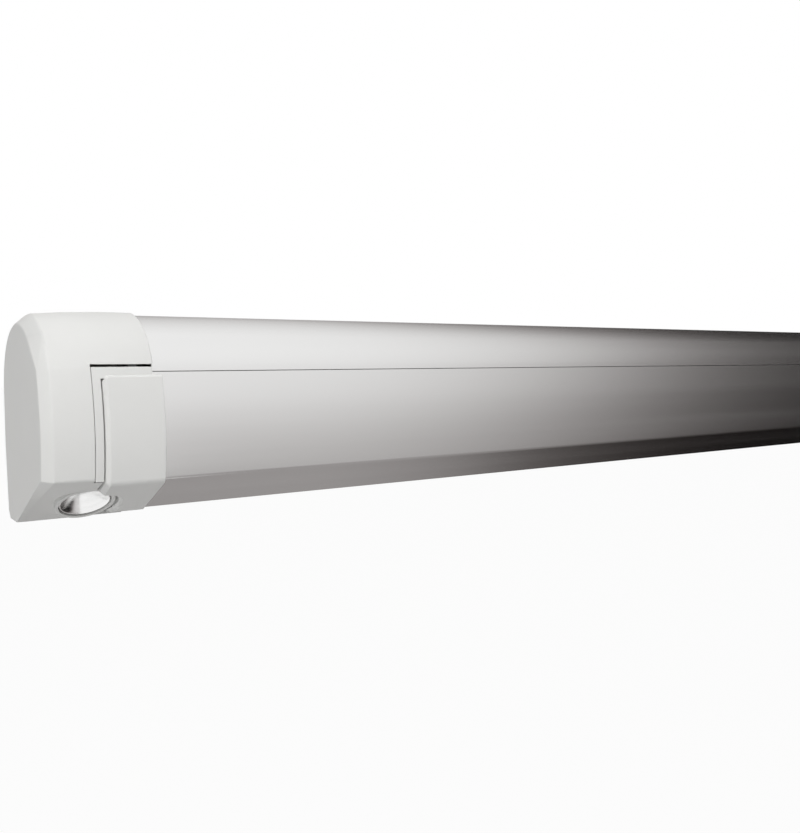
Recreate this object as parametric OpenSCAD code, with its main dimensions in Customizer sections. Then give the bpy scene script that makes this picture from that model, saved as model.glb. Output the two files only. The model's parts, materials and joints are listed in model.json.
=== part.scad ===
// Roll out awning: a cassette for a wall, with a crank drive, two spring arms and two drop legs.
// X runs along the cassette, Y runs into the wall and Z is up. The wall is the plane Y = 0.
// Section sketches are drawn as [depth from the wall, height over the underside].

/* [Cassette] */
// Length over both end caps
awning_length = 3000; // [2600:50:4000]
// Radius of the round top of the end caps
hood_radius = 56.5; // [54:0.5:64]
// Distance of the hood centre from the wall
hood_depth = 57; // [56.5:0.5:66]
// Height of the hood centre over the underside
hood_height = 99; // [96:1:112]
// Radius of the shallow front
front_radius = 177; // [150:1:240]
// Angle over the horizontal where hood and front meet
front_turn = 17.4; // [12:0.2:22]
// Height of the crease between front and lower bevel of the end caps
crease_height = 36.5; // [34.5:0.5:42]
// Radius of that crease
crease_radius = 5; // [2:0.5:8]
// Slope of the lower bevel of the end caps
cap_bevel = 24.3; // [22:0.1:27]
// Height of the lower edge of the hood at the front
seam_height = 112; // [110:0.5:118]
// Wall of the extruded cassette
profile_wall = 2.2; // [1.6:0.1:3]
// How far the end caps stand proud of the extrusion
profile_step = 2; // [1.5:0.1:3]
// Distance of the cassette back from the wall
back_gap = 8; // [8:0.5:12]
// Height of the cassette floor over the underside
floor_height = 10; // [9:0.5:12]
// Reach of the cassette floor from the wall
floor_reach = 31; // [24:0.5:32]
// Reach of the end caps below the zero height
cap_drop = 1.2; // [0:0.1:3]

/* [End caps] */
// Length of an end cap along the cassette
cap_length = 78; // [72:1:100]
// Wall of the end caps
cap_wall = 3; // [2.4:0.1:4]
// Bevel round the flat end face
cap_chamfer = 7; // [4:0.5:10]
// How much the end caps draw in towards the end face
cap_draft = 2.2; // [0:0.1:3]
// How much the lower edge at the wall leans in
cap_lean = 5.4; // [2:0.1:6]
// Start of the notch for the lead rail cap
cap_notch = 34; // [30:0.5:36]
// Height of the top of that notch
cap_seam_height = 117; // [116:0.5:122]
// Thickness of the cast end plates
plate_thick = 6; // [4:0.5:8]
// Distance of the cassette extrusion from the end face
profile_inset = 68; // [64:1:72]

/* [Lead rail] */
// Height of the crease between front and lower bevel of the lead rail
rail_crease_height = 33.3; // [32:0.1:36]
// Slope of the lower bevel of the lead rail
rail_bevel = 28.7; // [27:0.1:31]
// Wall of the extruded lead rail
rail_wall = 2; // [1.6:0.1:3]
// How far the lead rail lies back from the end cap outline
rail_step = 1.5; // [1:0.1:2.5]
// How far the rail cap stands proud of the end cap outline
rail_proud = 1; // [0.4:0.1:2]
// Height of the roof over the leg channel
roof_height = 35; // [34.5:0.5:37]
// Clear width of the leg channel
channel_width = 29; // [28.5:0.5:32]
// Distance of the leg channel back wall from the wall
channel_back = 33.5; // [33.5:0.5:36]
// Gap between the hood edge and the lead rail
seam_gap = 0.5; // [0.4:0.1:2]
// Slit between the end cap and the rail cap over it
cap_slit = 1.8; // [1:0.1:2.5]
// Width of the recessed flange beside the raised panel of the rail cap
flange_width = 7; // [5:0.5:9]
// Height of the top of the raised panel
panel_top = 109.5; // [106:0.5:110]
// Bore of the groove for the keder rod
groove_bore = 2.9; // [2.6:0.1:3.5]

/* [Fabric] */
// Radius of the roller tube
tube_radius = 25; // [20:0.5:26]
// Wall of the roller tube
tube_wall = 1.2; // [0.8:0.1:2]
// Radius of the full roll of fabric
roll_radius = 33.5; // [30:0.5:34]
// Distance of the roller axis from the wall
roller_depth = 54; // [52:0.5:57]
// Height of the roller axis over the underside
roller_height = 104; // [103:0.5:108]
// Thickness of the run of fabric
fabric_thick = 0.6; // [0.4:0.1:1]

/* [Crank drive] */
// Distance of the crank eye from the end face
eye_inset = 37; // [35:0.5:40]
// Lean of the crank axis from the vertical
eye_lean = 36; // [34:0.5:38]
// Radius of the lip of the crank eye
eye_radius = 18; // [15:0.5:19]
// Wall of the collar round the crank eye
collar_wall = 2.6; // [2.4:0.1:4]
// Radius of the socket for the crank
socket_radius = 8.5; // [6:0.5:10]
// Teeth of the worm wheel
wheel_teeth = 24; // [22:1:25]
// Starts of the worm
worm_starts = 4; // [2:1:4]
// Module of the gear pair
gear_module = 1.9; // [1.8:0.05:2]
// Pitch radius of the worm
worm_radius = 8; // [7.8:0.1:9]
// Radius of the worm shaft
shaft_radius = 5.75; // [5:0.25:6]

/* [Arms] */
// Fall of the arm plane below the horizontal
arm_pitch = 8; // [5:0.5:10]
// Distance of the shoulder pivot from the end face
shoulder_inset = 170; // [150:5:220]
// Distance of the shoulder pivot from the wall
shoulder_depth = 28; // [28:0.5:30]
// Distance of the elbow pivot from mid length
elbow_gap = 40; // [30:5:80]
// Half the distance between the two folded arms
arm_offset = 19; // [18:0.5:20]
// Width of an arm tube
arm_width = 24; // [18:0.5:25]
// Height of an arm tube
arm_height = 28; // [24:0.5:29]
// Wall of an arm tube
arm_wall = 2; // [1.5:0.1:3]
// Gap between the folded arms and the lead rail roof
arm_gap = 2; // [1.5:0.1:3]
// Thickness of the pivot eyes
eye_thick = 16; // [12:0.5:17]
// Radius of the arm pivot pins
pin_radius = 5; // [4:0.25:6]

/* [Legs] */
// Distance of the leg pivot from the end face
leg_inset = 112; // [104:1:130]
// Width of a leg tube
leg_width = 22; // [18:0.5:23]
// Height of a leg tube
leg_height = 18; // [15:0.5:18.5]
// Wall of the leg tubes
leg_wall = 1.6; // [1:0.1:2]
// Distance of the clamp end of a leg from mid length
leg_gap = 175; // [160:5:400]
// Radius of the leg pivot pins
leg_pin_radius = 4; // [3:0.25:5]

/* [Wall brackets] */
// Distance of the outer wall brackets from mid length
bracket_spacing = 1150; // [600:10:1200]
// Width of a wall bracket
bracket_width = 120; // [110:5:200]
// Distance between the two wall bolt holes of a bracket
bolt_spacing = 80; // [50:5:84]
// Radius of the wall bolt holes
bolt_radius = 4.25; // [3:0.25:5]
// Height of the wall bolt holes over the underside
datum = 78; // [60:1:90]

/* [Fits] */
// Radial clearance of turning fits
run_fit = 0.05; // [0.03:0.01:0.08]
// Clearance round plugs and sliding tubes
slide_fit = 0.3; // [0.2:0.05:0.5]

/* [Hidden] */

$fn = 64;
half = awning_length / 2;
far = 400;
slice_thick = 0.01;
lean_top = 56;

// Front arc, tangent to the hood from inside
front_c = [hood_depth - (front_radius - hood_radius) * cos(front_turn),
  hood_height - (front_radius - hood_radius) * sin(front_turn)];
function front_at(h, inset = 0) =
  front_c[0] + sqrt(pow(front_radius - inset, 2) - pow(h - front_c[1], 2));
cap_crease = [front_at(crease_height), crease_height];
rail_crease = [front_at(rail_crease_height), rail_crease_height];

// Roller, worm axis and mouth of the crank eye, whose front edge lies in the lower bevel
roller_c = [roller_depth, roller_height];
wheel_pitch = gear_module * wheel_teeth / 2;
axis_in = [-sin(eye_lean), cos(eye_lean)];
axis_side = [-cos(eye_lean), -sin(eye_lean)];
bevel_in = [-sin(cap_bevel), cos(cap_bevel)];
worm_c = roller_c + (wheel_pitch + worm_radius) * axis_side;
eye_gap = 0.7;
collar_in = eye_radius + eye_gap;
collar_out = collar_in + collar_wall;
eye_run = (worm_c - collar_in * axis_side - cap_crease) * bevel_in / (axis_in * bevel_in);
mouth = worm_c - eye_run * axis_in;
eye_x = -half + eye_inset;
tooth_add = 0.8 * gear_module;
tooth_ded = 1.05 * gear_module;
tooth_wide = 1.2 * gear_module;
worm_lead = PI * gear_module * worm_starts;
wheel_wide = 14;
wheel_lead = 2 * PI * wheel_pitch * 2 * PI * worm_radius / worm_lead;
worm_half = 14;
hub_end = 46;
slot_turn = 50;

// X stations along the left end
flange_x = cap_notch + 0.4;
panel_x = flange_x + flange_width;
rail_end = cap_length + 5.6;
profile_x = -half + profile_inset;
plate_x = profile_x - plate_thick;
box_x = [eye_x - 14, plate_x];
rail_x = profile_x + 6;
tube_x = profile_x + 8;
fabric_x = tube_x + 26;
skin_from = channel_back + channel_width + 5.4;
panel_edge = 3;

// Rain seal over the back of the hood
seal_foot = 20;
seal_edge = 29;
seal_lip = [hood_depth - 43, hood_height + 36];

// Arms
arm_len = half - shoulder_inset - elbow_gap;
shoulder_height = roof_height + arm_gap + 2 * arm_offset * sin(arm_pitch)
  + arm_height / 2 * cos(arm_pitch) + arm_width / 2 * sin(arm_pitch);
ear_in = eye_thick / 2 + 0.3;
ear_out = arm_height / 2 - 0.4;
knuckle_r = 12;
ear_r = 14;
arm_start = 31;
arm_end = arm_len - 60;
flange = 8;
hook_low = 96;
hook_play = 0.4;
hook_thick = 1.7;
plug = 36;
bracket_face = back_gap + profile_wall;

// Legs
leg_x = -half + leg_inset;
leg_mid = channel_back + rail_wall + channel_width / 2;
leg_axis = roof_height - 14;
leg_start = 16;
leg_len = half - leg_inset - leg_gap;
inner_wide = leg_width - 2 * leg_wall - 2 * slide_fit;
inner_high = leg_height - 2 * leg_wall - 2 * slide_fit;
cheek = 2.4;
cheek_gap = 0.2;

// Groove for the keder and the line of the fabric from it to the underside of the roll
groove_c = [front_at(104) - 15, 104];
groove_out = groove_bore + 1.7;
run_d = norm(groove_c - roller_c);
run_r = roll_radius + 0.6;
run_turn = atan2(roller_c[1] - groove_c[1], roller_c[0] - groove_c[0]) + asin(run_r / run_d);
run_len = sqrt(run_d * run_d - run_r * run_r);

// Placing helpers

// Extrudes a section sketch from x0 to x1
module run(x0, x1) {
  translate([x1, 0, -datum])
    rotate([90, 0, -90])
      linear_extrude(height = x1 - x0)
        children();
}

// A rod along X at a section point
module rod(x0, x1, at, r, sides = 64) {
  run(x0, x1)
    translate(at)
      circle(r, $fn = sides);
}

// A box between two section corners
module block(x0, x1, a, b) {
  run(x0, x1)
    translate(a)
      square(b - a);
}

// Worm axis frame: Z runs in from the mouth of the crank eye
module on_worm() {
  translate([eye_x, -mouth[0], mouth[1] - datum])
    rotate([-eye_lean, 0, 0])
      children();
}

// Left arm frame: X along the folded arm, Y back to the wall, Z square to the arm plane
module on_arm() {
  translate([-half + shoulder_inset, -shoulder_depth, shoulder_height - datum])
    rotate([arm_pitch, 0, 0])
      children();
}

// Extrudes a [Y, Z] sketch along X of the current frame
module along(x0, x1) {
  translate([x0, 0, 0])
    rotate([90, 0, 90])
      linear_extrude(height = x1 - x0)
        children();
}

module other_side() {
  mirror([1, 0, 0])
    children();
}

module rounded(w, h, r) {
  square([w - 2 * r, h], center = true);
  square([w, h - 2 * r], center = true);
  for (sx = [-1, 1], sy = [-1, 1])
    translate([sx * (w / 2 - r), sy * (h / 2 - r)])
      circle(r, $fn = 32);
}

// Section outlines

// All points above a bevel that falls back from a crease
module above_bevel(crease, slope, inset) {
  translate(crease + inset * [-sin(slope), cos(slope)])
    rotate(slope)
      translate([-far, 0])
        square([2 * far, far]);
}

module front_disc(inset) {
  translate(front_c)
    circle(front_radius - inset, $fn = 240);
}

// Centre of the round on the crease, for an outline drawn in at the front and at the bevel
function crease_centre(crease, slope, inset, low, r) =
  let (
    e = [cos(slope), sin(slope)],
    p = crease - front_c + (low + r) * [-sin(slope), cos(slope)],
    b = p * e,
    c = p * p - pow(front_radius - inset - r, 2)
  )
  front_c + p + (sqrt(b * b - c) - b) * e;

// The sharp tip that the round takes off
module crease_tip(crease, slope, inset, low) {
  r = max(crease_radius - inset, 1);
  q = crease_centre(crease, slope, inset, low, r);
  out = (q - front_c) / norm(q - front_c);
  down = [sin(slope), -cos(slope)];
  difference() {
    polygon([q, q + 2 * r * out, q + 3 * r * (out + down), q + 2 * r * down]);
    translate(q)
      circle(r, $fn = 64);
  }
}

// Whole cassette, drawn in by an inset at hood and front, by another at the bevel
// and by a third at the wall and underneath
module outline(inset, low, edge, slope = cap_bevel) {
  translate([hood_depth - inset + edge, hood_height])
    circle(hood_radius - inset, $fn = 128);
  difference() {
    intersection() {
      front_disc(inset);
      above_bevel(cap_crease, slope, low);
      translate([edge, edge - cap_drop])
        square([far, far]);
      union() {
        square([hood_depth, hood_height]);
        translate([hood_depth, hood_height])
          rotate(front_turn)
            translate([-far, -far])
              square([2 * far, far]);
      }
    }
    crease_tip(cap_crease, slope, inset, low);
    wall_lean(edge);
  }
}

// What the lean of the lower edge takes off at the wall, and the small bevel under it
module wall_lean(edge) {
  foot = edge - cap_drop;
  polygon([[edge - 1, lean_top], [edge, lean_top], [edge + cap_lean, foot + cap_lean],
    [edge + 2 * cap_lean, foot], [edge + 2 * cap_lean, foot - 1], [edge - 1, foot - 1]]);
}

// Front and bevel of the lead rail, from a given depth forwards and up to a given height
module rail_outline(inset, from, top) {
  difference() {
    intersection() {
      front_disc(inset);
      above_bevel(rail_crease, rail_bevel, inset);
      translate([from, 0])
        square([far, top]);
    }
    crease_tip(rail_crease, rail_bevel, inset, inset);
  }
}

// Cassette

module screw_port(at) {
  translate(at)
    circle(4.4, $fn = 32);
}

ports = [[back_gap + profile_wall + 3.6, floor_height + 8], [back_gap + profile_wall + 3.6, 100],
  [hood_depth - 22, hood_height + 43.5], [hood_depth + 34, hood_height + 35]];

module profile_section() {
  difference() {
    union() {
      intersection() {
        difference() {
          translate([hood_depth, hood_height])
            circle(hood_radius - profile_step, $fn = 128);
          translate([hood_depth, hood_height])
            circle(hood_radius - profile_step - profile_wall, $fn = 128);
        }
        union() {
          translate([hood_depth, seam_height])
            square([far, far]);
          translate([back_gap, hood_height])
            square([hood_depth - back_gap, far]);
        }
      }
      translate([back_gap, floor_height])
        square([profile_wall, hood_back() - floor_height]);
      translate([back_gap, floor_height])
        square([floor_reach - back_gap, profile_wall]);
      translate([floor_reach - profile_wall, floor_height])
        square([profile_wall, 8]);
      translate([3.6, 114.5])
        square([back_gap - 3.5, 2.5]);
      translate([3.6, 104])
        square([2, 13]);
      intersection() {
        for (p = ports)
          screw_port(p);
        translate([hood_depth, hood_height])
          square([2 * hood_radius - 2 * profile_step - 2, far], center = true);
        union() {
          translate([hood_depth, hood_height])
            circle(hood_radius - profile_step - 0.3);
          translate([back_gap + 0.5, floor_height + 0.5])
            square([40, 96]);
        }
      }
    }
    for (p = ports)
      translate(p)
        circle(2.1, $fn = 32);
  }
}

// Height at which the hood meets the back wall
function hood_back() = hood_height - 0.3
  + sqrt(pow(hood_radius - profile_step, 2) - pow(hood_depth - back_gap, 2));

module shoulder_holes(r) {
  for (sx = [-34, 34], h = [-24, 24])
    translate([-half + shoulder_inset + sx, 0, shoulder_height + h - datum])
      rotate([90, 0, 0])
        cylinder(r = r, h = far, center = true, $fn = 32);
}

// What is cut off the hood's lip inside a cap, so that the slit over the flange stays open
module lip_notch() {
  block(profile_x - 1, -half + cap_length - 0.3, [hood_depth + 20, seam_height - 1],
    [far, cap_seam_height + 0.4]);
}

module cassette_profile() {
  color("silver")
    difference() {
      run(profile_x, -profile_x)
        profile_section();
      shoulder_holes(4.2);
      other_side()
        shoulder_holes(4.2);
      block(profile_x - 1, -half + cap_length + 1, [0, 90], [back_gap, 118]);
      lip_notch();
      other_side()
        lip_notch();
      block(half - cap_length - 1, 1 - profile_x, [0, 90], [back_gap, 118]);
      for (x = [-1, 0, 1])
        translate([x * bracket_spacing, -15, floor_height + 1 - datum])
          cylinder(r = 2.7, h = 6, center = true, $fn = 32);
    }
}

// A slice of the cassette outline at a distance from the end face. The bevel round that
// face runs out towards the wall.
module slice(x, inset, edge) {
  run(-half + x, -half + x + slice_thick)
    outline(inset, 0.6 * inset, edge, cap_bevel + 0.34 * (inset - edge));
}

module end_cap(eye) {
  c = cap_chamfer;
  d = cap_draft;
  difference() {
    union() {
      hull() {
        slice(0, c + 1 + d, 0);
        slice(0.8, c - 0.6 + d, 0);
        slice(c - 0.6, 0.8 + d, 0);
        slice(c + 1, d, 0);
        slice(0.35 * cap_length, 0.4 * d, 0);
        run(-half + 0.7 * cap_length, -half + cap_length)
          outline(0, 0, 0);
      }
      if (eye)
        collar();
    }
    difference() {
      union() {
        hull() {
          slice(cap_wall, c + d + cap_wall, cap_wall);
          slice(c + cap_wall, d + cap_wall, cap_wall);
          run(plate_x - 8, plate_x - 1 + slice_thick)
            outline(cap_wall, 0.6 * cap_wall, cap_wall);
        }
        run(plate_x - 1, -half + cap_length + 1)
          outline(profile_step - 0.2, cap_wall, profile_step - 0.2);
        block(-half + cap_notch, -half + far, [hood_depth, crease_height - 1.5], [far, cap_seam_height]);
        difference() {
          block(-half + panel_x - 0.9, -half + far, [floor_reach + 1, -9], [far, crease_height]);
          if (eye)
            on_worm()
              cylinder(r = collar_out + 1, h = 40, center = true);
        }
      }
      if (eye)
        collar();
    }
    if (eye)
      on_worm()
        translate([0, 0, -20])
          cylinder(r = collar_in, h = far / 4);
  }
}

// Collar round the crank eye, still without its bore
module collar() {
  on_worm()
    cylinder(r = collar_out, h = 24);
}

module end_cap_left() {
  color("gainsboro")
    end_cap(true);
}

module end_cap_right() {
  color("gainsboro")
    other_side()
      end_cap(false);
}

module end_plate() {
  difference() {
    run(plate_x, profile_x)
      difference() {
        union() {
          translate([hood_depth, hood_height])
            circle(hood_radius - 5.2, $fn = 128);
          translate([back_gap + 0.4, floor_height + 0.4])
            square([26, hood_height - floor_height]);
        }
        translate([hood_depth + 36, 0])
          square([far, seam_height + 1]);
        translate(roller_c)
          circle(13, $fn = 64);
        for (p = ports)
          translate(p)
            circle(2.8, $fn = 32);
      }
  }
}

module end_plate_left() {
  color("darkgray")
    end_plate();
}

module end_plate_right() {
  color("darkgray")
    other_side()
      end_plate();
}

module plate_screw(p) {
  rod(plate_x - 3, plate_x, p, 4.6, 32);
  rod(plate_x - 0.5, profile_x + 16, p, 2, 32);
}

module end_plate_screws() {
  color("slategray")
    for (p = ports) {
      plate_screw(p);
      other_side()
        plate_screw(p);
    }
}

module shoulder_bracket() {
  difference() {
    union() {
      block(-half + shoulder_inset - 45, -half + shoulder_inset + 45,
        [bracket_face, shoulder_height - 32], [bracket_face + 4.6, shoulder_height + 32]);
      on_arm()
        for (s = [-1, 1])
          translate([0, 0, s * (ear_in + 3.2)]) {
            cylinder(r = ear_r, h = 6.4, center = true);
            translate([0, ear_r / 2 + 0.4, 0])
              cube([2 * ear_r, ear_r + 0.8, 6.4], center = true);
          }
    }
    on_arm()
      cylinder(r = pin_radius + 1 + run_fit / 2, h = far, center = true);
    shoulder_holes(4.2);
    translate([0, far - bracket_face, 0])
      cube([2 * awning_length, 2 * far, 2 * far], center = true);
  }
}

module shoulder_bracket_left() {
  color("lightgray")
    shoulder_bracket();
}

module shoulder_bracket_right() {
  color("lightgray")
    other_side()
      shoulder_bracket();
}

module shoulder_pin() {
  on_arm() {
    cylinder(r = pin_radius + 1, h = 2 * ear_in + 13, center = true);
    translate([0, 0, ear_in + 6.4])
      cylinder(r = pin_radius + 3, h = 2);
  }
}

module shoulder_pins() {
  color("dimgray") {
    shoulder_pin();
    other_side()
      shoulder_pin();
  }
}

module shoulder_bolt_set() {
  for (sx = [-34, 34], h = [-24, 24])
    translate([-half + shoulder_inset + sx, 0, shoulder_height + h - datum])
      rotate([90, 0, 0]) {
        translate([0, 0, back_gap - 2.5])
          cylinder(r = 6, h = 2.5, $fn = 6);
        translate([0, 0, back_gap - 1])
          cylinder(r = 4, h = profile_wall + 6.6);
        translate([0, 0, bracket_face + 4.6])
          cylinder(r = 6, h = 2.6);
      }
}

module shoulder_bolts() {
  color("dimgray") {
    shoulder_bolt_set();
    other_side()
      shoulder_bolt_set();
  }
}

module bracket_section() {
  translate([0, floor_height - 3])
    square([3, 121 - floor_height]);
  translate([0, floor_height - 3])
    square([24, 2.8]);
  translate([0, hook_low])
    square([back_gap - hook_play, 3]);
  translate([back_gap - hook_play - hook_thick, hook_low])
    square([hook_thick, 18.2]);
}

module wall_brackets() {
  color("gray")
    for (x = [-1, 0, 1])
      difference() {
        run(x * bracket_spacing - bracket_width / 2, x * bracket_spacing + bracket_width / 2)
          bracket_section();
        for (sx = [-1, 1])
          translate([x * bracket_spacing + sx * bolt_spacing / 2, -1.5, 0])
            rotate([90, 0, 0])
              cylinder(r = bolt_radius, h = 8, center = true);
        translate([x * bracket_spacing, -15, floor_height - 2 - datum])
          cylinder(r = 2.7, h = 8, center = true, $fn = 32);
      }
}

module bracket_lock_screws() {
  color("slategray")
    for (x = [-1, 0, 1])
      translate([x * bracket_spacing, -15, -datum]) {
        translate([0, 0, floor_height - 5.4])
          cylinder(r = 4.5, h = 2.4);
        translate([0, 0, floor_height - 5])
          cylinder(r = 2.5, h = 8.2);
      }
}

module rain_seal() {
  color("black")
    run(profile_x + 10, -profile_x - 10)
      difference() {
        polygon([[0.4, hood_height + seal_foot], [0.4, hood_height + seal_edge], seal_lip,
          seal_lip + [2, -3], [seal_lip[0] - 1, hood_height + seal_foot]]);
        translate([hood_depth, hood_height])
          circle(hood_radius - profile_step + 0.05, $fn = 128);
        translate([back_gap - 0.05, 0])
          square([far, hood_back() + 0.3]);
        translate([0, 110])
          square([back_gap, 11]);
      }
}

// Crank drive

// Parts of the gearbox block, cut from one closed block
module gear_block(r, side, ends) {
  translate(roller_c)
    circle(r, $fn = 96);
  translate(worm_c)
    rotate(eye_lean)
      translate([-side, -ends])
        square([side + worm_radius + wheel_pitch, 2 * ends]);
}

module gearbox_case() {
  color("dimgray")
    difference() {
      run(box_x[0], box_x[1])
        gear_block(wheel_pitch + 6.5, worm_radius + 5, worm_half + 5);
      rod(box_x[0] - 1, eye_x + wheel_wide / 2 + 1, roller_c, wheel_pitch + 3.2, 96);
      rod(box_x[0] - 1, box_x[1] + 1, roller_c, 10.5);
      on_worm() {
        translate([0, 0, eye_run - worm_half - 0.5])
          cylinder(r = worm_radius + 3, h = 2 * worm_half + 1);
        cylinder(r = shaft_radius + run_fit, h = far);
      }
      for (p = ports)
        rod(plate_x - 3.6, plate_x + 1, p, 5.2, 32);
    }
}

module gearbox_cover() {
  color("gray")
    difference() {
      run(box_x[0] - 3.5, box_x[0])
        gear_block(wheel_pitch + 6.5, worm_radius + 5, worm_half + 5);
      rod(box_x[0] - 9, box_x[0] + 1, roller_c, 9.4);
    }
}

module roller_bush() {
  difference() {
    union() {
      rod(plate_x, profile_x, roller_c, 12.95);
      rod(profile_x, profile_x + 1.5, roller_c, 16);
    }
    rod(plate_x - 1, profile_x + 3, roller_c, 9 + run_fit);
  }
}

module roller_bush_left() {
  color("white")
    roller_bush();
}

module roller_bush_right() {
  color("white")
    other_side()
      roller_bush();
}

module crank_eye() {
  color("silver")
    on_worm()
      rotate(slot_turn)
        difference() {
          rotate_extrude($fn = 96)
            polygon([[0, 34], [socket_radius, 34], [socket_radius, 15], [eye_radius - 1.2, 1],
              [eye_radius, 1], [eye_radius, 3.5], [socket_radius + 3.2, 19],
              [socket_radius + 3.2, hub_end], [0, hub_end]]);
          translate([0, 0, 37])
            cylinder(r = shaft_radius + run_fit, h = 30);
          translate([0, 0, 22])
            cube([4.2, 2 * socket_radius + 4, 14], center = true);
        }
}

// One start of the worm in the plane square to its axis
module worm_lobe() {
  half_at = [0.5 * tooth_wide + tooth_ded * tan(20), 0.5 * tooth_wide, 0.5 * tooth_wide - tooth_add * tan(20)];
  rad = [worm_radius - tooth_ded - 0.4, worm_radius, worm_radius + tooth_add];
  turn = 360 / worm_lead;
  polygon(concat(
    [for (i = [0:2]) rad[i] * [cos(turn * half_at[i]), -sin(turn * half_at[i])]],
    [for (i = [2:-1:0]) rad[i] * [cos(turn * half_at[i]), sin(turn * half_at[i])]],
    [[0, 0]]));
}

module worm_shaft() {
  color("darkgray")
    on_worm() {
      translate([0, 0, 37.5])
        cylinder(r = shaft_radius, h = eye_run - worm_half - 37.4);
      translate([0, 0, eye_run + worm_half - 0.1])
        cylinder(r = shaft_radius, h = 6);
      translate([0, 0, eye_run])
        rotate(-90 + 180 * worm_half * 2 / worm_lead - 360 * worm_half / worm_lead * 2)
          translate([0, 0, -worm_half])
            linear_extrude(height = 2 * worm_half, twist = -360 * 2 * worm_half / worm_lead, slices = 26) {
              circle(worm_radius - tooth_ded, $fn = 16);
              for (i = [1:worm_starts])
                rotate(i * 360 / worm_starts)
                  worm_lobe();
            }
    }
}

module wheel_tooth() {
  flank = tooth_wide / 2;
  polygon([[wheel_pitch - tooth_ded - 0.6, -flank - 0.5], [wheel_pitch, -flank],
    [wheel_pitch + tooth_add, -flank + tooth_add * tan(20)], [wheel_pitch + tooth_add, flank - tooth_add * tan(20)],
    [wheel_pitch, flank], [wheel_pitch - tooth_ded - 0.6, flank + 0.5]]);
}

module worm_wheel() {
  color("white")
    difference() {
      translate([eye_x, -roller_c[0], roller_c[1] - datum])
        rotate([0, 90, 0])
          rotate(wheel_phase())
            translate([0, 0, -wheel_wide / 2])
              linear_extrude(height = wheel_wide, twist = -360 * wheel_wide / wheel_lead, slices = 4) {
                circle(wheel_pitch - tooth_ded, $fn = 48);
                for (i = [1:wheel_teeth])
                  rotate(i * 360 / wheel_teeth)
                    wheel_tooth();
              }
      rod(-half, 0, roller_c, 8.1, 6);
    }
}

// Turns the wheel so that a gap faces the worm at mid width
function wheel_phase() = 90 - eye_lean + 180 / wheel_teeth - 180 * wheel_wide / wheel_lead;

// Roller

module roller_tube() {
  color("silver")
    run(tube_x, -tube_x)
      translate(roller_c)
        difference() {
          circle(tube_radius, $fn = 96);
          circle(tube_radius - tube_wall, $fn = 96);
        }
}

module roller_drive_plug() {
  color("dimgray") {
    rod(tube_x, tube_x + 50, roller_c, tube_radius - tube_wall - 0.1);
    rod(tube_x - 5, tube_x, roller_c, tube_radius);
    rod(plate_x - 2, tube_x - 4.9, roller_c, 9);
    rod(eye_x - wheel_wide / 2 - 6, plate_x - 1.9, roller_c, 8, 6);
  }
}

module roller_idle_plug() {
  color("dimgray")
    other_side() {
      rod(tube_x, tube_x + 50, roller_c, tube_radius - tube_wall - 0.1);
      rod(tube_x - 5, tube_x, roller_c, tube_radius);
      rod(plate_x - 2, tube_x - 4.9, roller_c, 9);
    }
}

module fabric_roll() {
  color("dimgray")
    run(fabric_x, -fabric_x)
      translate(roller_c)
        difference() {
          circle(roll_radius, $fn = 96);
          circle(tube_radius + 0.2, $fn = 96);
        }
}

module fabric_run() {
  color("gray")
    run(fabric_x, -fabric_x)
      translate(groove_c)
        rotate(run_turn)
          translate([groove_bore + 0.2, -fabric_thick / 2])
            square([run_len - groove_bore - 0.2, fabric_thick]);
}

// Arms

module arm_section() {
  difference() {
    rounded(arm_width, arm_height, 5);
    rounded(arm_width - 2 * arm_wall, arm_height - 2 * arm_wall, 3);
  }
}

module arm_plug(x0, x1) {
  along(x0, x1)
    rounded(arm_width - 2 * arm_wall - 2 * slide_fit, arm_height - 2 * arm_wall - 2 * slide_fit, 2.7);
}

module arm_tube() {
  along(arm_start, arm_end)
    arm_section();
}

// Eye at the origin with a neck, a flange and a plug for the tube
module knuckle(bore) {
  difference() {
    union() {
      cylinder(r = knuckle_r, h = eye_thick, center = true);
      translate([arm_start / 2, 0, 0])
        cube([arm_start - 2, 2 * knuckle_r - 5, eye_thick], center = true);
      along(arm_start - flange, arm_start)
        rounded(arm_width, arm_height, 5);
      arm_plug(arm_start - 1, arm_start + plug);
    }
    cylinder(r = bore, h = far, center = true);
  }
}

// Outline that leads from a tube end to the elbow pivot, the pivot lying to one side
module elbow_plan(side) {
  translate([arm_len, -side * arm_offset])
    circle(ear_r, $fn = 64);
  polygon([[arm_end, arm_width / 2], [arm_end, -arm_width / 2],
    [arm_len, -side * arm_offset - ear_r], [arm_len, -side * arm_offset + ear_r]]);
}

module elbow_fork() {
  difference() {
    union() {
      for (s = [-1, 1])
        translate([0, 0, s * (ear_in + ear_out) / 2])
          linear_extrude(height = ear_out - ear_in, center = true)
            elbow_plan(1);
      along(arm_end, arm_end + 14)
        square([arm_width - 4, 2 * ear_out - 1], center = true);
      along(arm_end, arm_end + 3)
        rounded(arm_width, arm_height, 5);
      arm_plug(arm_end - plug, arm_end + 1);
    }
    translate([arm_len, -arm_offset, 0])
      cylinder(r = pin_radius + run_fit / 2, h = far, center = true);
  }
}

module elbow_pin() {
  translate([arm_len, -arm_offset, 0])
    cylinder(r = pin_radius, h = 2 * ear_out, center = true);
}

module elbow_tongue() {
  difference() {
    translate([0, -2 * arm_offset, 0]) {
      linear_extrude(height = eye_thick, center = true)
        elbow_plan(-1);
      along(arm_end, arm_end + 3)
        rounded(arm_width, arm_height, 5);
      arm_plug(arm_end - plug, arm_end + 1);
    }
    translate([arm_len, -arm_offset, 0])
      cylinder(r = pin_radius + run_fit, h = far, center = true);
  }
}

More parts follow.
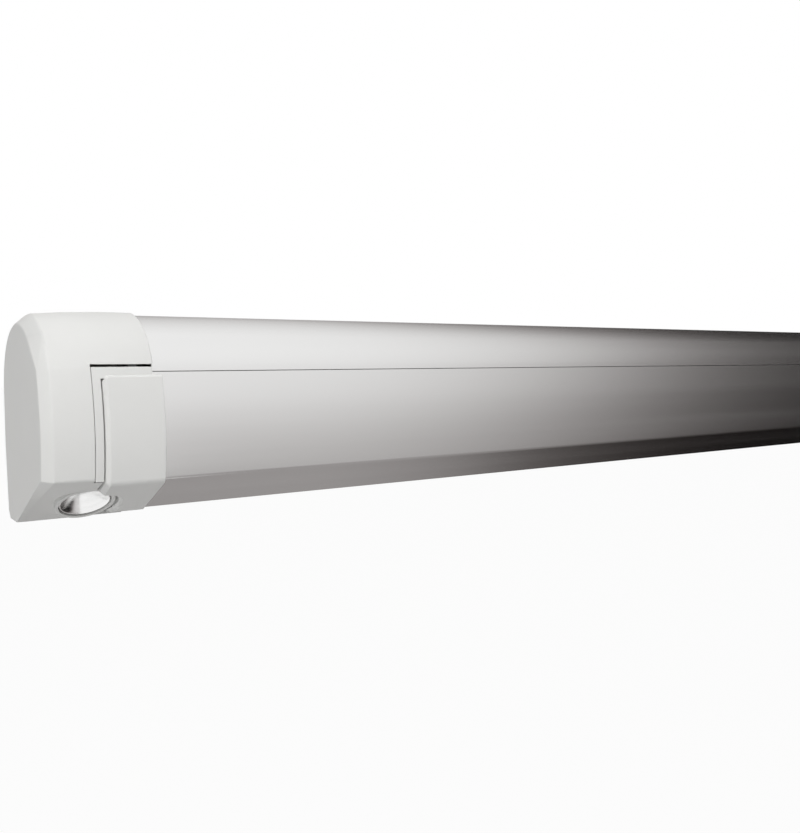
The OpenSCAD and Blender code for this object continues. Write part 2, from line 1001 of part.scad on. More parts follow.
// Tension spring with an anchor rod to the wrist and a cable to the elbow
module arm_spring() {
  s0 = arm_start + plug;
  s1 = arm_end - plug;
  mid = [s0 + 120, s0 + 620];
  translate([0, -2 * arm_offset, 0]) {
    along(s0, mid[0])
      circle(2.5, $fn = 32);
    along(mid[0], mid[1])
      difference() {
        circle(8.5, $fn = 48);
        circle(5.5, $fn = 48);
      }
    along(mid[0] - 4, mid[0])
      circle(8.5, $fn = 48);
    along(mid[1], mid[1] + 4)
      circle(8.5, $fn = 48);
    along(mid[1] + 4, s1)
      circle(2, $fn = 32);
  }
}

module inner_arm_tube_left() {
  color("whitesmoke")
    on_arm()
      arm_tube();
}

module shoulder_knuckle_left() {
  color("lightgray")
    on_arm()
      knuckle(pin_radius + 1 + run_fit);
}

module elbow_fork_left() {
  color("lightgray")
    on_arm()
      elbow_fork();
}

module elbow_pin_left() {
  color("dimgray")
    on_arm()
      elbow_pin();
}

module outer_arm_tube_left() {
  color("whitesmoke")
    on_arm()
      translate([0, -2 * arm_offset, 0])
        arm_tube();
}

module elbow_tongue_left() {
  color("lightgray")
    on_arm()
      elbow_tongue();
}

module wrist_knuckle_left() {
  color("lightgray")
    on_arm()
      translate([0, -2 * arm_offset, 0])
        knuckle(pin_radius + run_fit);
}

module arm_spring_left() {
  color("slategray")
    on_arm()
      arm_spring();
}

module inner_arm_tube_right() {
  other_side()
    inner_arm_tube_left();
}

module shoulder_knuckle_right() {
  other_side()
    shoulder_knuckle_left();
}

module elbow_fork_right() {
  other_side()
    elbow_fork_left();
}

module elbow_pin_right() {
  other_side()
    elbow_pin_left();
}

module outer_arm_tube_right() {
  other_side()
    outer_arm_tube_left();
}

module elbow_tongue_right() {
  other_side()
    elbow_tongue_left();
}

module wrist_knuckle_right() {
  other_side()
    wrist_knuckle_left();
}

module arm_spring_right() {
  other_side()
    arm_spring_left();
}

// Lead rail

module rail_section() {
  mouth_d = channel_back + rail_wall + channel_width;
  low = rail_crease[1] - (rail_crease[0] - mouth_d) * tan(rail_bevel);
  difference() {
    union() {
      difference() {
        rail_outline(rail_step, mouth_d, seam_height - seam_gap);
        intersection() {
          front_disc(rail_step + rail_wall);
          above_bevel(rail_crease, rail_bevel, rail_step + rail_wall);
        }
      }
      intersection() {
        rail_outline(rail_step, 0, seam_height - seam_gap);
        union() {
          translate([channel_back, roof_height - rail_wall])
            square([far, rail_wall]);
          translate([mouth_d, low])
            square([rail_wall, roof_height - low]);
          translate([groove_c[0], seam_height - seam_gap - rail_wall])
            square([far, rail_wall]);
        }
      }
      translate([channel_back, roof_height - rail_wall])
        square([20, rail_wall]);
      translate([channel_back, 9])
        square([rail_wall, roof_height - 9]);
      translate([groove_c[0] - rail_wall, groove_c[1]])
        square([2 * rail_wall, seam_height - seam_gap - groove_c[1] - rail_wall / 2]);
      translate(groove_c)
        circle(groove_out, $fn = 48);
    }
    translate(groove_c) {
      circle(groove_bore, $fn = 48);
      rotate(run_turn)
        translate([0, -fabric_thick])
          square([groove_out + 4, 2 * fabric_thick]);
    }
  }
}

module lead_rail_profile() {
  color("silver")
    run(rail_x, -rail_x)
      rail_section();
}

// Section of the raised panel, with a small bevel along its top
module panel_face(inset, drop) {
  top = panel_top - drop;
  difference() {
    rail_outline(inset, skin_from, top);
    translate([front_at(top, inset), top])
      rotate(45)
        square(2.4, center = true);
  }
}

module panel_slice(x, inset, drop) {
  run(-half + x, -half + x + slice_thick)
    panel_face(inset, drop);
}

// Everything behind the skin of the rail cap
module rail_inside() {
  intersection() {
    front_disc(rail_step - 0.2);
    above_bevel(rail_crease, rail_bevel, rail_step - 0.2);
  }
}

module rail_cap(eye) {
  flange_top = cap_seam_height - cap_slit;
  flange_inset = 0.6;
  difference() {
    union() {
      // Raised panel
      difference() {
        hull() {
          panel_slice(panel_x, panel_edge - rail_proud, panel_edge);
          run(-half + panel_x + panel_edge, -half + rail_end)
            panel_face(-rail_proud, 0);
        }
        run(-half + panel_x + 2.2, rail_x)
          intersection() {
            rail_inside();
            square([far, panel_top - 2.2]);
          }
        run(rail_x - 2, -half + rail_end + 1)
          rail_inside();
        block(-half, -half + far, [0, crease_height], [groove_c[0], far]);
      }
      // Recessed flange beside and over the panel
      run(-half + flange_x, -half + panel_x - 1.2)
        difference() {
          rail_outline(flange_inset, rail_crease[0] - 12, flange_top);
          front_disc(2.8);
          square([far, crease_height - 0.8]);
        }
      run(-half + panel_x - 3.4, -half + panel_x + 4)
        difference() {
          rail_outline(5, rail_crease[0] - 14, panel_top);
          front_disc(7.4);
          square([far, crease_height - 0.8]);
        }
      run(-half + panel_x - 3.4, -half + panel_x - 1.2)
        difference() {
          rail_outline(flange_inset, rail_crease[0] - 14, panel_top);
          front_disc(7.4);
          square([far, crease_height - 0.8]);
        }
      run(-half + flange_x, -half + cap_length - 0.5)
        difference() {
          rail_outline(flange_inset, rail_crease[0] - 12, flange_top);
          front_disc(rail_step - 0.2);
          square([far, panel_top - 2.4]);
        }
      // Wall along the notch for the collar of the crank eye
      if (eye)
        intersection() {
          on_worm()
            difference() {
              translate([0, 0, -20])
                cylinder(r = collar_out + 4, h = 40);
              translate([0, 0, -21])
                cylinder(r = collar_out + 2, h = 42);
              translate([-far, -far / 2, 13])
                cube(far);
            }
          run(eye_x + 10, -half + rail_end)
            rail_outline(0, mouth[0] - 8, crease_height);
        }
      // Plate that closes the end of the extrusion
      run(rail_x - 2, rail_x) {
        intersection() {
          rail_outline(rail_step - 0.3, channel_back + channel_width + rail_wall, panel_top);
          union() {
            square([far, roof_height]);
            translate([groove_c[0] - groove_out - 1, 0])
              square([far, far]);
          }
        }
        translate([channel_back, 9])
          square([channel_width + 2 * rail_wall, roof_height - 9]);
      }
    }
    block(-half, rail_x - 2.1, [0, roof_height - 8], [hood_depth + 38, cap_seam_height]);
    if (eye)
      on_worm()
        translate([0, 0, -60])
          cylinder(r = collar_out + 2, h = 110);
  }
}

module lead_rail_cap_left() {
  color("gainsboro")
    rail_cap(true);
}

module lead_rail_cap_right() {
  color("gainsboro")
    other_side()
      rail_cap(false);
}

module wrist_bracket() {
  difference() {
    union() {
      block(-half + shoulder_inset - 30, -half + shoulder_inset + 30,
        [shoulder_depth + 2 * arm_offset + 15, roof_height],
        [shoulder_depth + 2 * arm_offset + 38, roof_height + arm_height + 3]);
      on_arm()
        translate([0, -2 * arm_offset, 0])
          for (s = [-1, 1])
            translate([0, 0, s * (ear_in + ear_out) / 2]) {
              cylinder(r = ear_r, h = ear_out - ear_in, center = true);
              translate([0, -12, 0])
                cube([2 * ear_r, 24, ear_out - ear_in], center = true);
            }
    }
    on_arm()
      translate([0, -2 * arm_offset, 0])
        cylinder(r = pin_radius + run_fit / 2, h = far / 2, center = true);
  }
}

module wrist_brackets() {
  color("lightgray") {
    wrist_bracket();
    other_side()
      wrist_bracket();
  }
}

module wrist_pin() {
  on_arm()
    translate([0, -2 * arm_offset, 0])
      cylinder(r = pin_radius, h = 2 * ear_out, center = true);
}

module wrist_pins() {
  color("dimgray") {
    wrist_pin();
    other_side()
      wrist_pin();
  }
}

module front_keder() {
  color("white")
    rod(fabric_x, -fabric_x, groove_c, groove_bore - 0.3, 48);
}

// Legs

// Frame of the left leg: X along the stowed leg from its pivot, Y across, Z up
module on_leg() {
  translate([leg_x, -leg_mid, leg_axis - datum])
    children();
}

module across(r, w) {
  rotate([90, 0, 0])
    cylinder(r = r, h = w, center = true);
}

module leg_hinge() {
  wide = channel_width - 2 * cheek_gap;
  top = roof_height - rail_wall - leg_axis;
  on_leg()
    difference() {
      union() {
        for (s = [-1, 1])
          translate([0, s * (wide - cheek) / 2, (top - 9) / 2])
            cube([24, cheek, top + 9], center = true);
        translate([0, 0, top - 0.9])
          cube([24, wide, 1.8], center = true);
      }
      across(leg_pin_radius + run_fit / 2, far);
    }
}

module leg_hinges() {
  color("gray") {
    leg_hinge();
    other_side()
      leg_hinge();
  }
}

module leg_hinge_pin() {
  on_leg()
    across(leg_pin_radius, channel_width - 2 * cheek_gap);
}

module leg_hinge_pins() {
  color("dimgray") {
    leg_hinge_pin();
    other_side()
      leg_hinge_pin();
  }
}

module leg_tube_left() {
  color("silver")
    on_leg()
      along(leg_start, leg_len)
        difference() {
          rounded(leg_width, leg_height, 2.5);
          rounded(leg_width - 2 * leg_wall, leg_height - 2 * leg_wall, 1);
        }
}

module leg_fittings_left() {
  head = channel_width - 2 * cheek - 4 * cheek_gap;
  color("dimgray")
    on_leg() {
      difference() {
        union() {
          across(leg_height / 2, head);
          translate([leg_start / 2, 0, 0])
            cube([leg_start, head, leg_height], center = true);
          along(leg_start - 1, leg_start + 40)
            rounded(inner_wide, inner_high, 1);
        }
        across(leg_pin_radius + run_fit, far);
      }
      difference() {
        translate([leg_len - 8, 0, 0])
          cube([56, leg_width + 4, leg_height + 5], center = true);
        along(leg_len - 60, leg_len + 0.1)
          rounded(leg_width + 0.2, leg_height + 0.2, 2.6);
        along(leg_len, leg_len + 60)
          rounded(inner_wide + 2 * slide_fit, inner_high + 2 * slide_fit, 1.2);
        translate([leg_len - 8, 0, -leg_height / 2 - 8])
          cube([80, 14.6, 16 - 0.6], center = true);
      }
    }
}

// Lever of the clamp, lying along the underside of the collar
module leg_lever_left() {
  low = leg_height / 2 + 2.1;
  color("black")
    on_leg()
      union() {
        translate([leg_len + 8, 0, -low])
          across(1.7, 14);
        translate([leg_len - 24, 0, -low - 0.6])
          cube([64, 14, 2.2], center = true);
      }
}

module leg_inner_left() {
  color("silver")
    on_leg()
      along(leg_start + 60, leg_len + 40)
        difference() {
          rounded(inner_wide, inner_high, 1);
          rounded(inner_wide - 2 * leg_wall, inner_high - 2 * leg_wall, 0.5);
        }
}

module leg_foot_left() {
  color("dimgray")
    on_leg() {
      along(leg_len + 20.5, leg_len + 40)
        rounded(inner_wide - 2 * leg_wall - 0.2, inner_high - 2 * leg_wall - 0.2, 0.4);
      along(leg_len + 40, leg_len + 58)
        rounded(leg_width, leg_height, 2.5);
      along(leg_len + 58, leg_len + 64)
        rounded(leg_width + 5, leg_height + 5, 4);
    }
}

module leg_tube_right() {
  other_side()
    leg_tube_left();
}

module leg_fittings_right() {
  other_side()
    leg_fittings_left();
}

module leg_lever_right() {
  other_side()
    leg_lever_left();
}

module leg_inner_right() {
  other_side()
    leg_inner_left();
}

module leg_foot_right() {
  other_side()
    leg_foot_left();
}

cassette_profile();
end_cap_left();
end_cap_right();
end_plate_left();
end_plate_right();
end_plate_screws();
gearbox_case();
gearbox_cover();
roller_bush_left();
roller_bush_right();
shoulder_bracket_left();
shoulder_bracket_right();
shoulder_pins();
shoulder_bolts();
wall_brackets();
bracket_lock_screws();
rain_seal();
crank_eye();
worm_shaft();
worm_wheel();
roller_tube();
roller_drive_plug();
roller_idle_plug();
fabric_roll();
fabric_run();
inner_arm_tube_left();
shoulder_knuckle_left();
elbow_fork_left();
elbow_pin_left();
outer_arm_tube_left();
elbow_tongue_left();
wrist_knuckle_left();
arm_spring_left();
inner_arm_tube_right();
shoulder_knuckle_right();
elbow_fork_right();
elbow_pin_right();
outer_arm_tube_right();
elbow_tongue_right();
wrist_knuckle_right();
arm_spring_right();
lead_rail_profile();
lead_rail_cap_left();
lead_rail_cap_right();
wrist_brackets();
wrist_pins();
front_keder();
leg_hinges();
leg_hinge_pins();
leg_tube_left();
leg_fittings_left();
leg_lever_left();
leg_inner_left();
leg_foot_left();
leg_tube_right();
leg_fittings_right();
leg_lever_right();
leg_inner_right();
leg_foot_right();
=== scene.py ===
# %% [markdown]
# Roll out awning, dressed in Blender. The awning hangs on a wall: an aluminium cassette
# with moulded end caps, a lead rail that closes it, two spring arms, two drop legs and the cloth.
# The construction is already packed as a fixed frame, so this lesson only gives each piece
# its surface, and replaces the few solids that are soft, wound or too plain to be looked at.

# %% Load the frame
import json
import math

import bmesh
import bpy
import numpy as np
from mathutils import Matrix, Vector

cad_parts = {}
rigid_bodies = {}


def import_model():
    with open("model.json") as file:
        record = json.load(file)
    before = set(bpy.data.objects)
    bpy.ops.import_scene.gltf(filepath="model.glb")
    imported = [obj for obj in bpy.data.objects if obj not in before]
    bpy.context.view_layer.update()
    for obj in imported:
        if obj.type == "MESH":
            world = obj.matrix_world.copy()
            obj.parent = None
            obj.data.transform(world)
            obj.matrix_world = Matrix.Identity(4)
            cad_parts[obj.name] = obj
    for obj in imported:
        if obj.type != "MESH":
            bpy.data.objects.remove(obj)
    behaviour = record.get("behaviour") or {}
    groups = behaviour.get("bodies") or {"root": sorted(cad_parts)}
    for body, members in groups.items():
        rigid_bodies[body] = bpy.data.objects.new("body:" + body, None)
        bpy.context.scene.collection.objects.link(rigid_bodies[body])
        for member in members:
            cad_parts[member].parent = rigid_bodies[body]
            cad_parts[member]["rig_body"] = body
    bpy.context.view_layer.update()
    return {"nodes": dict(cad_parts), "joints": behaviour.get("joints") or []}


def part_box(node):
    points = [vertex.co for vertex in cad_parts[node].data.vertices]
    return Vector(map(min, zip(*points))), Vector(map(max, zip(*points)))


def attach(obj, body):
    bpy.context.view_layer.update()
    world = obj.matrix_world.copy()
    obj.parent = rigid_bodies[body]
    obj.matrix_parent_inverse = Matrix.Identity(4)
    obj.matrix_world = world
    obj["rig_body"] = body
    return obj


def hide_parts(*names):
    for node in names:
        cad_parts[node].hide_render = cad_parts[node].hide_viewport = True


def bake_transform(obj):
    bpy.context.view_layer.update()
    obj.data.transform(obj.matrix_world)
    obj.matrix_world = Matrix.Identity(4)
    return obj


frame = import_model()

NODES = frame["nodes"]
BODY_OF = {n: o["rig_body"] for n, o in NODES.items()}

# %% [markdown]
# The photograph looks along the awning from a little in front of its left end. A camera is
# settled before anything else, because every finish is judged through it. The lens is the one
# that makes the edges of the cassette run together as steeply as they do in the picture.


# %% Camera
def put(name, data):
    """A new object in the scene."""
    made = bpy.data.objects.new(name, data)
    bpy.context.scene.collection.objects.link(made)
    return made


CAMERA_AT = Vector((-1.6458, -0.7415, 0.0453))
CAMERA_TOWARDS = Vector((0.5706, 0.8185, -0.0679))
FOCAL_PIXELS, PICTURE_PIXELS = 900, 833
SENSOR_MM = 36.0
camera = put("photo_camera", bpy.data.cameras.new("photo_camera"))
camera.data.sensor_width = SENSOR_MM
camera.data.lens = FOCAL_PIXELS / PICTURE_PIXELS * SENSOR_MM
camera.data.clip_start = 0.01
camera.location = CAMERA_AT
camera.rotation_mode = "QUATERNION"
camera.rotation_quaternion = CAMERA_TOWARDS.to_track_quat("-Z", "Y")
bpy.context.scene.camera = camera
print("camera: lens", round(camera.data.lens, 2), "mm")

# %% [markdown]
# Node trees are built by hand below, so small helpers keep them readable: one adds a node and
# wires it in the same line, one starts a node group with named sockets, and one starts a material
# with an empty tree.


# %% Node helpers
def add(tree, kind, wires=None, **settings):
    """A node with its settings; wires maps an input to a socket or to a plain value."""
    node = tree.nodes.new(tree.bl_idname.removesuffix("Tree") + kind)
    for key, value in settings.items():
        setattr(node, key, value)
    for key, value in (wires or {}).items():
        if isinstance(value, bpy.types.NodeSocket):
            tree.links.new(value, node.inputs[key])
        else:
            node.inputs[key].default_value = value
    return node


def calc(tree, operation, a, b=0.0, clamp=False):
    return add(tree, "Math", {0: a, 1: b}, operation=operation, use_clamp=clamp).outputs[0]


def group(name, inputs, outputs):
    """An empty shader group: its tree, the sockets that come in and the sockets that go out."""
    tree = bpy.data.node_groups.new(name, "ShaderNodeTree")
    for label, kind, value in inputs:
        socket = tree.interface.new_socket(label, in_out="INPUT", socket_type="NodeSocket" + kind)
        socket.default_value = value
    for label, kind in outputs:
        tree.interface.new_socket(label, in_out="OUTPUT", socket_type="NodeSocket" + kind)
    return tree, tree.nodes.new("NodeGroupInput").outputs, tree.nodes.new("NodeGroupOutput").inputs


def wire_out(tree, sockets, **values):
    for key, socket in values.items():
        tree.links.new(socket, sockets[key])


def blank(name):
    """A new material with an empty tree, and that tree."""
    made = bpy.data.materials.new(name)
    made.use_nodes = True
    made.node_tree.nodes.clear()
    return made, made.node_tree


print("helpers ready")

# %% [markdown]
# Several finishes share the same effects, so each effect is a group that is placed in a material
# with its own values. The first one is the fine lines that a die leaves along extruded metal.
# Noise that is stretched along the awning draws them without any picture.

# %% Group: lines of an extrusion
drawn, i, o = group("drawn lines",
    [("Lines", "Float", 260.0), ("Along", "Float", 0.6)], [("Height", "Float"), ("Tone", "Float")])
at = add(drawn, "TexCoord").outputs["Object"]
fine = add(drawn, "VectorMath", {0: at, 1: add(drawn, "CombineXYZ",
    {"X": i["Along"], "Y": i["Lines"], "Z": i["Lines"]}).outputs[0]}, operation="MULTIPLY").outputs[0]
wide = add(drawn, "VectorMath", {0: fine, 1: (0.35, 0.13, 0.13)}, operation="MULTIPLY").outputs[0]
lines = add(drawn, "TexNoise", {"Vector": fine, "Scale": 1.0, "Detail": 4.0, "Roughness": 0.62})
bands = add(drawn, "TexNoise", {"Vector": wide, "Scale": 1.0, "Detail": 2.0})
wire_out(drawn, o, Height=lines.outputs[0], Tone=bands.outputs[0])
print("group:", drawn.name)

# %% [markdown]
# A moulded or cast skin copies the roughened face of its mould. Small cells give the pits and
# noise breaks up their order, while a slow noise makes the tone a little uneven.

# %% Group: grain of a moulded or cast skin
grain, i, o = group("skin grain",
    [("Grains", "Float", 1400.0), ("Patches", "Float", 9.0)], [("Height", "Float"), ("Tone", "Float")])
at = add(grain, "TexCoord").outputs["Object"]
cells = add(grain, "TexVoronoi", {"Vector": at, "Scale": i["Grains"]}, feature="SMOOTH_F1")
noise = add(grain, "TexNoise", {"Vector": at, "Scale": i["Grains"], "Detail": 2.0})
patches = add(grain, "TexNoise", {"Vector": at, "Scale": i["Patches"], "Detail": 5.0})
wire_out(grain, o, Height=calc(grain, "ADD", cells.outputs["Distance"], noise.outputs[0]),
    Tone=patches.outputs[0])
print("group:", grain.name)

# %% [markdown]
# No handled edge is knife sharp. The Bevel node rounds the shading of an edge, and where its
# normal leaves the true one there is an edge that hands have rubbed.

# %% Group: rounded and rubbed edges
worn, i, o = group("worn edges",
    [("Radius", "Float", 0.0006), ("Reach", "Float", 6.0)], [("Normal", "Vector"), ("Mask", "Float")])
soft = add(worn, "Bevel", {"Radius": i["Radius"]}, samples=4).outputs[0]
bend = add(worn, "VectorMath", {0: soft, 1: add(worn, "NewGeometry").outputs["Normal"]},
    operation="DOT_PRODUCT").outputs["Value"]
patchy = add(worn, "TexNoise", {"Vector": add(worn, "TexCoord").outputs["Object"],
    "Scale": 55.0, "Detail": 4.0}).outputs[0]
away = calc(worn, "MULTIPLY", calc(worn, "SUBTRACT", 1.0, bend), i["Reach"])
wire_out(worn, o, Normal=soft, Mask=calc(worn, "MULTIPLY", away, patchy, clamp=True))
print("group:", worn.name)

# %% [markdown]
# Dust settles on what faces up, so its mask comes from the upward share of the normal.

# %% Group: dust on what faces up
dusty, i, o = group("settled dust", [("Amount", "Float", 0.12)], [("Mask", "Float")])
up = add(dusty, "SeparateXYZ", {0: add(dusty, "NewGeometry").outputs["Normal"]}).outputs["Z"]
spread = add(dusty, "TexNoise", {"Vector": add(dusty, "TexCoord").outputs["Object"],
    "Scale": 14.0, "Detail": 6.0}).outputs[0]
facing = calc(dusty, "POWER", calc(dusty, "MAXIMUM", up, 0.0), 3.0)
lying = calc(dusty, "MULTIPLY", facing, spread)
wire_out(dusty, o, Mask=calc(dusty, "MULTIPLY", lying, i["Amount"], clamp=True))
print("group:", dusty.name)

# %% [markdown]
# A finish is one Principled shader with those groups in front of it. The two base colours are
# mixed by the slow tone of the surface, rubbed edges take the wear colour, and the grain or the
# lines reach the normal through a bump that starts from the rounded edge.

# %% One way to build every finish
NOISE_LOW, NOISE_HIGH = 0.3, 0.7
DUST_COLOUR = (0.62, 0.60, 0.56)
BUMP_DEPTH = 0.0002


def placed(tree, effect, **values):
    """An effect's group, placed with its own values."""
    return add(tree, "Group", values, node_tree=effect).outputs


def mixed(tree, factor, a, b):
    node = add(tree, "Mix", {"Factor": factor}, data_type="RGBA")
    for socket, value in ((node.inputs["A"], a), (node.inputs["B"], b)):
        if isinstance(value, bpy.types.NodeSocket):
            tree.links.new(value, socket)
        else:
            socket.default_value = (*value, 1.0)
    return node.outputs["Result"]


def spanned(tree, tone, low, high):
    """A noise, which mostly stays between two values, spread over a range."""
    return add(tree, "MapRange", {"Value": tone, "From Min": NOISE_LOW, "From Max": NOISE_HIGH,
        "To Min": low, "To Max": high}).outputs[0]


def dress(name, dark, light, wear, rough, effect, bump, metallic=0.0, edge=0.0006, dust=0.1, over=None):
    """A finish: two base colours, a wear colour, a roughness range, a grain or lines, and its bump."""
    made, tree = blank(name)
    skin = add(tree, "BsdfPrincipled", {"Metallic": metallic})
    edges = placed(tree, worn, Radius=edge)
    marks = effect(tree)
    colour = mixed(tree, spanned(tree, marks["Tone"], 0.0, 1.0), dark, light)
    colour = mixed(tree, edges["Mask"], colour, wear)
    colour = mixed(tree, placed(tree, dusty, Amount=dust)["Mask"], colour, DUST_COLOUR)
    if over:
        colour = over(tree, colour)
    tree.links.new(colour, skin.inputs["Base Color"])
    tree.links.new(spanned(tree, marks["Tone"], *rough), skin.inputs["Roughness"])
    lift = add(tree, "Bump", {"Height": marks["Height"], "Normal": edges["Normal"],
        "Strength": bump, "Distance": BUMP_DEPTH})
    tree.links.new(lift.outputs[0], skin.inputs["Normal"])
    add(tree, "OutputMaterial", {"Surface": skin.outputs[0]})
    return made


def lines_of(count):
    return lambda tree: placed(tree, drawn, Lines=count)


def grain_of(count, patches=9.0):
    return lambda tree: placed(tree, grain, Grains=count, Patches=patches)


print("finish builder ready")

# %% [markdown]
# The aluminium of the cassette and the lead rail is anodised: satin, neutral, with the faint
# lines that the extruding die leaves. The caps are a warm off-white plastic with a fine moulded
# grain. Paint, castings, zinc and rubber follow the same recipe with other values.

# %% Finishes
FINISH = {
    "anodised_aluminium": dress("satin anodised aluminium", (0.82, 0.82, 0.815), (0.88, 0.88, 0.875),
        (0.90, 0.90, 0.89), (0.20, 0.26), lines_of(260.0), 0.05, metallic=1.0, edge=0.0004, dust=0.05),
    "cap_plastic": dress("moulded cap plastic", (0.68, 0.68, 0.665), (0.72, 0.72, 0.705),
        (0.80, 0.80, 0.79), (0.38, 0.46), grain_of(1500.0), 0.10, edge=0.0007, dust=0.05),
    "cast_aluminium": dress("cast aluminium", (0.42, 0.42, 0.43), (0.54, 0.54, 0.55),
        (0.68, 0.68, 0.68), (0.44, 0.60), grain_of(700.0, 20.0), 0.55, metallic=1.0),
    "steel": dress("zinc plated steel", (0.48, 0.49, 0.50), (0.62, 0.62, 0.61),
        (0.70, 0.70, 0.70), (0.24, 0.40), grain_of(500.0, 60.0), 0.12, metallic=1.0, edge=0.0003),
    "bracket_steel": dress("galvanised bracket steel", (0.34, 0.35, 0.36), (0.50, 0.51, 0.52),
        (0.60, 0.60, 0.60), (0.36, 0.56), grain_of(90.0, 45.0), 0.10, metallic=1.0),
    "gear_plastic": dress("natural gear plastic", (0.66, 0.64, 0.57), (0.74, 0.72, 0.66),
        (0.80, 0.79, 0.75), (0.34, 0.44), grain_of(900.0, 30.0), 0.08, edge=0.0003),
    "bush_plastic": dress("grey bush plastic", (0.30, 0.30, 0.30), (0.38, 0.38, 0.375),
        (0.46, 0.46, 0.46), (0.40, 0.50), grain_of(900.0, 30.0), 0.08),
    "seal_rubber": dress("seal rubber", (0.018, 0.018, 0.019), (0.030, 0.030, 0.031),
        (0.07, 0.07, 0.07), (0.55, 0.72), grain_of(1100.0, 14.0), 0.25, dust=0.35),
    "arm_paint": dress("white powder coat", (0.68, 0.68, 0.67), (0.74, 0.74, 0.73),
        (0.78, 0.78, 0.77), (0.34, 0.44), grain_of(420.0, 8.0), 0.16, dust=0.05),
    "arm_casting": dress("painted casting", (0.52, 0.52, 0.515), (0.60, 0.60, 0.595),
        (0.72, 0.72, 0.71), (0.42, 0.54), grain_of(600.0, 18.0), 0.40),
    "leg_aluminium": dress("drawn leg aluminium", (0.56, 0.56, 0.56), (0.68, 0.68, 0.675),
        (0.78, 0.78, 0.77), (0.28, 0.38), lines_of(420.0), 0.10, metallic=1.0, edge=0.0004, dust=0.05),
    "leg_plastic": dress("grey leg plastic", (0.060, 0.061, 0.063), (0.085, 0.086, 0.088),
        (0.16, 0.16, 0.16), (0.42, 0.56), grain_of(1200.0, 16.0), 0.22),
    "lever_plastic": dress("black lever plastic", (0.016, 0.016, 0.017), (0.026, 0.026, 0.027),
        (0.09, 0.09, 0.09), (0.34, 0.46), grain_of(1300.0, 22.0), 0.16),
}
print("finishes:", len(FINISH))

# %% [markdown]
# The funnel that takes the crank is turned metal, so its tool marks run round its axis and not
# along the awning. A Mapping node moves the surface into the frame of that axis, and rings are
# drawn from the distance to it. The depth is put out as well, for a painted shade that darkens the throat.

# %% Turned metal of the crank eye
EYE_MOUTH = Vector((-1.463, -0.080105, -0.062330))
EYE_LEAN = math.radians(36.0)
# Depths in the funnel over which the painted shade of the throat comes in.
THROAT_SHADE_FROM, THROAT_SHADE_FULL = 0.012, 0.017

rings, i, o = group("turned rings", [("Place", "Vector", (0, 0, 0)), ("Rings", "Float", 1500.0)],
    [("Height", "Float"), ("Tone", "Float"), ("Depth", "Float")])
parts = add(rings, "SeparateXYZ", {0: i["Place"]}).outputs
off_axis = add(rings, "VectorMath", {0: add(rings, "CombineXYZ",
    {"X": parts["X"], "Y": parts["Y"]}).outputs[0]}, operation="LENGTH").outputs["Value"]
ring = add(rings, "CombineXYZ", {"X": calc(rings, "MULTIPLY", off_axis, i["Rings"]),
    "Y": calc(rings, "MULTIPLY", parts["Z"], i["Rings"])}).outputs[0]
coarse = add(rings, "VectorMath", {0: ring, 1: (0.2, 0.2, 0.2)}, operation="MULTIPLY").outputs[0]
tool_marks = add(rings, "TexNoise", {"Vector": ring, "Scale": 1.0, "Detail": 3.0})
bands = add(rings, "TexNoise", {"Vector": coarse, "Scale": 1.0, "Detail": 2.0})
wire_out(rings, o, Height=tool_marks.outputs[0], Tone=bands.outputs[0], Depth=parts["Z"])


def turned(tree):
    place = add(tree, "Mapping", {"Vector": add(tree, "TexCoord").outputs["Object"],
        "Location": EYE_MOUTH, "Rotation": (-EYE_LEAN, 0.0, 0.0)}, vector_type="TEXTURE")
    return placed(tree, rings, Place=place.outputs[0])


def painted_throat_shade(tree, colour):
    """Painted shade, which turns the deep throat of the funnel dark where the light doesn't reach."""
    shade_mask = add(tree, "MapRange", {"Value": turned(tree)["Depth"], "From Min": THROAT_SHADE_FROM,
        "From Max": THROAT_SHADE_FULL}, interpolation_type="SMOOTHSTEP")
    return mixed(tree, shade_mask.outputs[0], colour, (0.03, 0.03, 0.03))


# The throat of this finish gets painted shade, darker with depth, through the over hook.
FINISH["eye_metal"] = dress("turned eye metal", (0.88, 0.88, 0.875), (0.95, 0.95, 0.945),
    (0.95, 0.95, 0.94), (0.18, 0.28), turned, 0.10, metallic=1.0, edge=0.0003, dust=0.0, over=painted_throat_shade)
print("finish:", FINISH["eye_metal"].name)

# %% [markdown]
# Awning cloth is a coated weave. Its threads follow the cloth and not the room, so they are
# drawn from the UV map, which holds metres along and across the sheet. The two welded side hems
# show as slightly darker bands.

# %% Woven cloth
HEM_WIDTH = 0.018

weave, i, o = group("plain weave", [("Threads", "Float", 900.0), ("Half Width", "Float", 1.398)],
    [("Height", "Float"), ("Tone", "Float"), ("Hem", "Float")])
uv = add(weave, "UVMap", uv_map="UVMap").outputs[0]
u, v = add(weave, "SeparateXYZ", {0: uv}).outputs[:2]
warp = calc(weave, "SINE", calc(weave, "MULTIPLY", u, i["Threads"]))
weft = calc(weave, "SINE", calc(weave, "MULTIPLY", v, i["Threads"]))
slub = add(weave, "TexNoise", {"Vector": add(weave, "VectorMath", {0: uv, 1: (2.5, 60.0, 0.0)},
    operation="MULTIPLY").outputs[0], "Scale": 1.0, "Detail": 4.0}).outputs[0]
hem_from = calc(weave, "SUBTRACT", i["Half Width"], HEM_WIDTH)
hem = calc(weave, "GREATER_THAN", calc(weave, "ABSOLUTE", u), hem_from)
wire_out(weave, o, Height=calc(weave, "MULTIPLY", warp, weft), Tone=slub, Hem=hem)

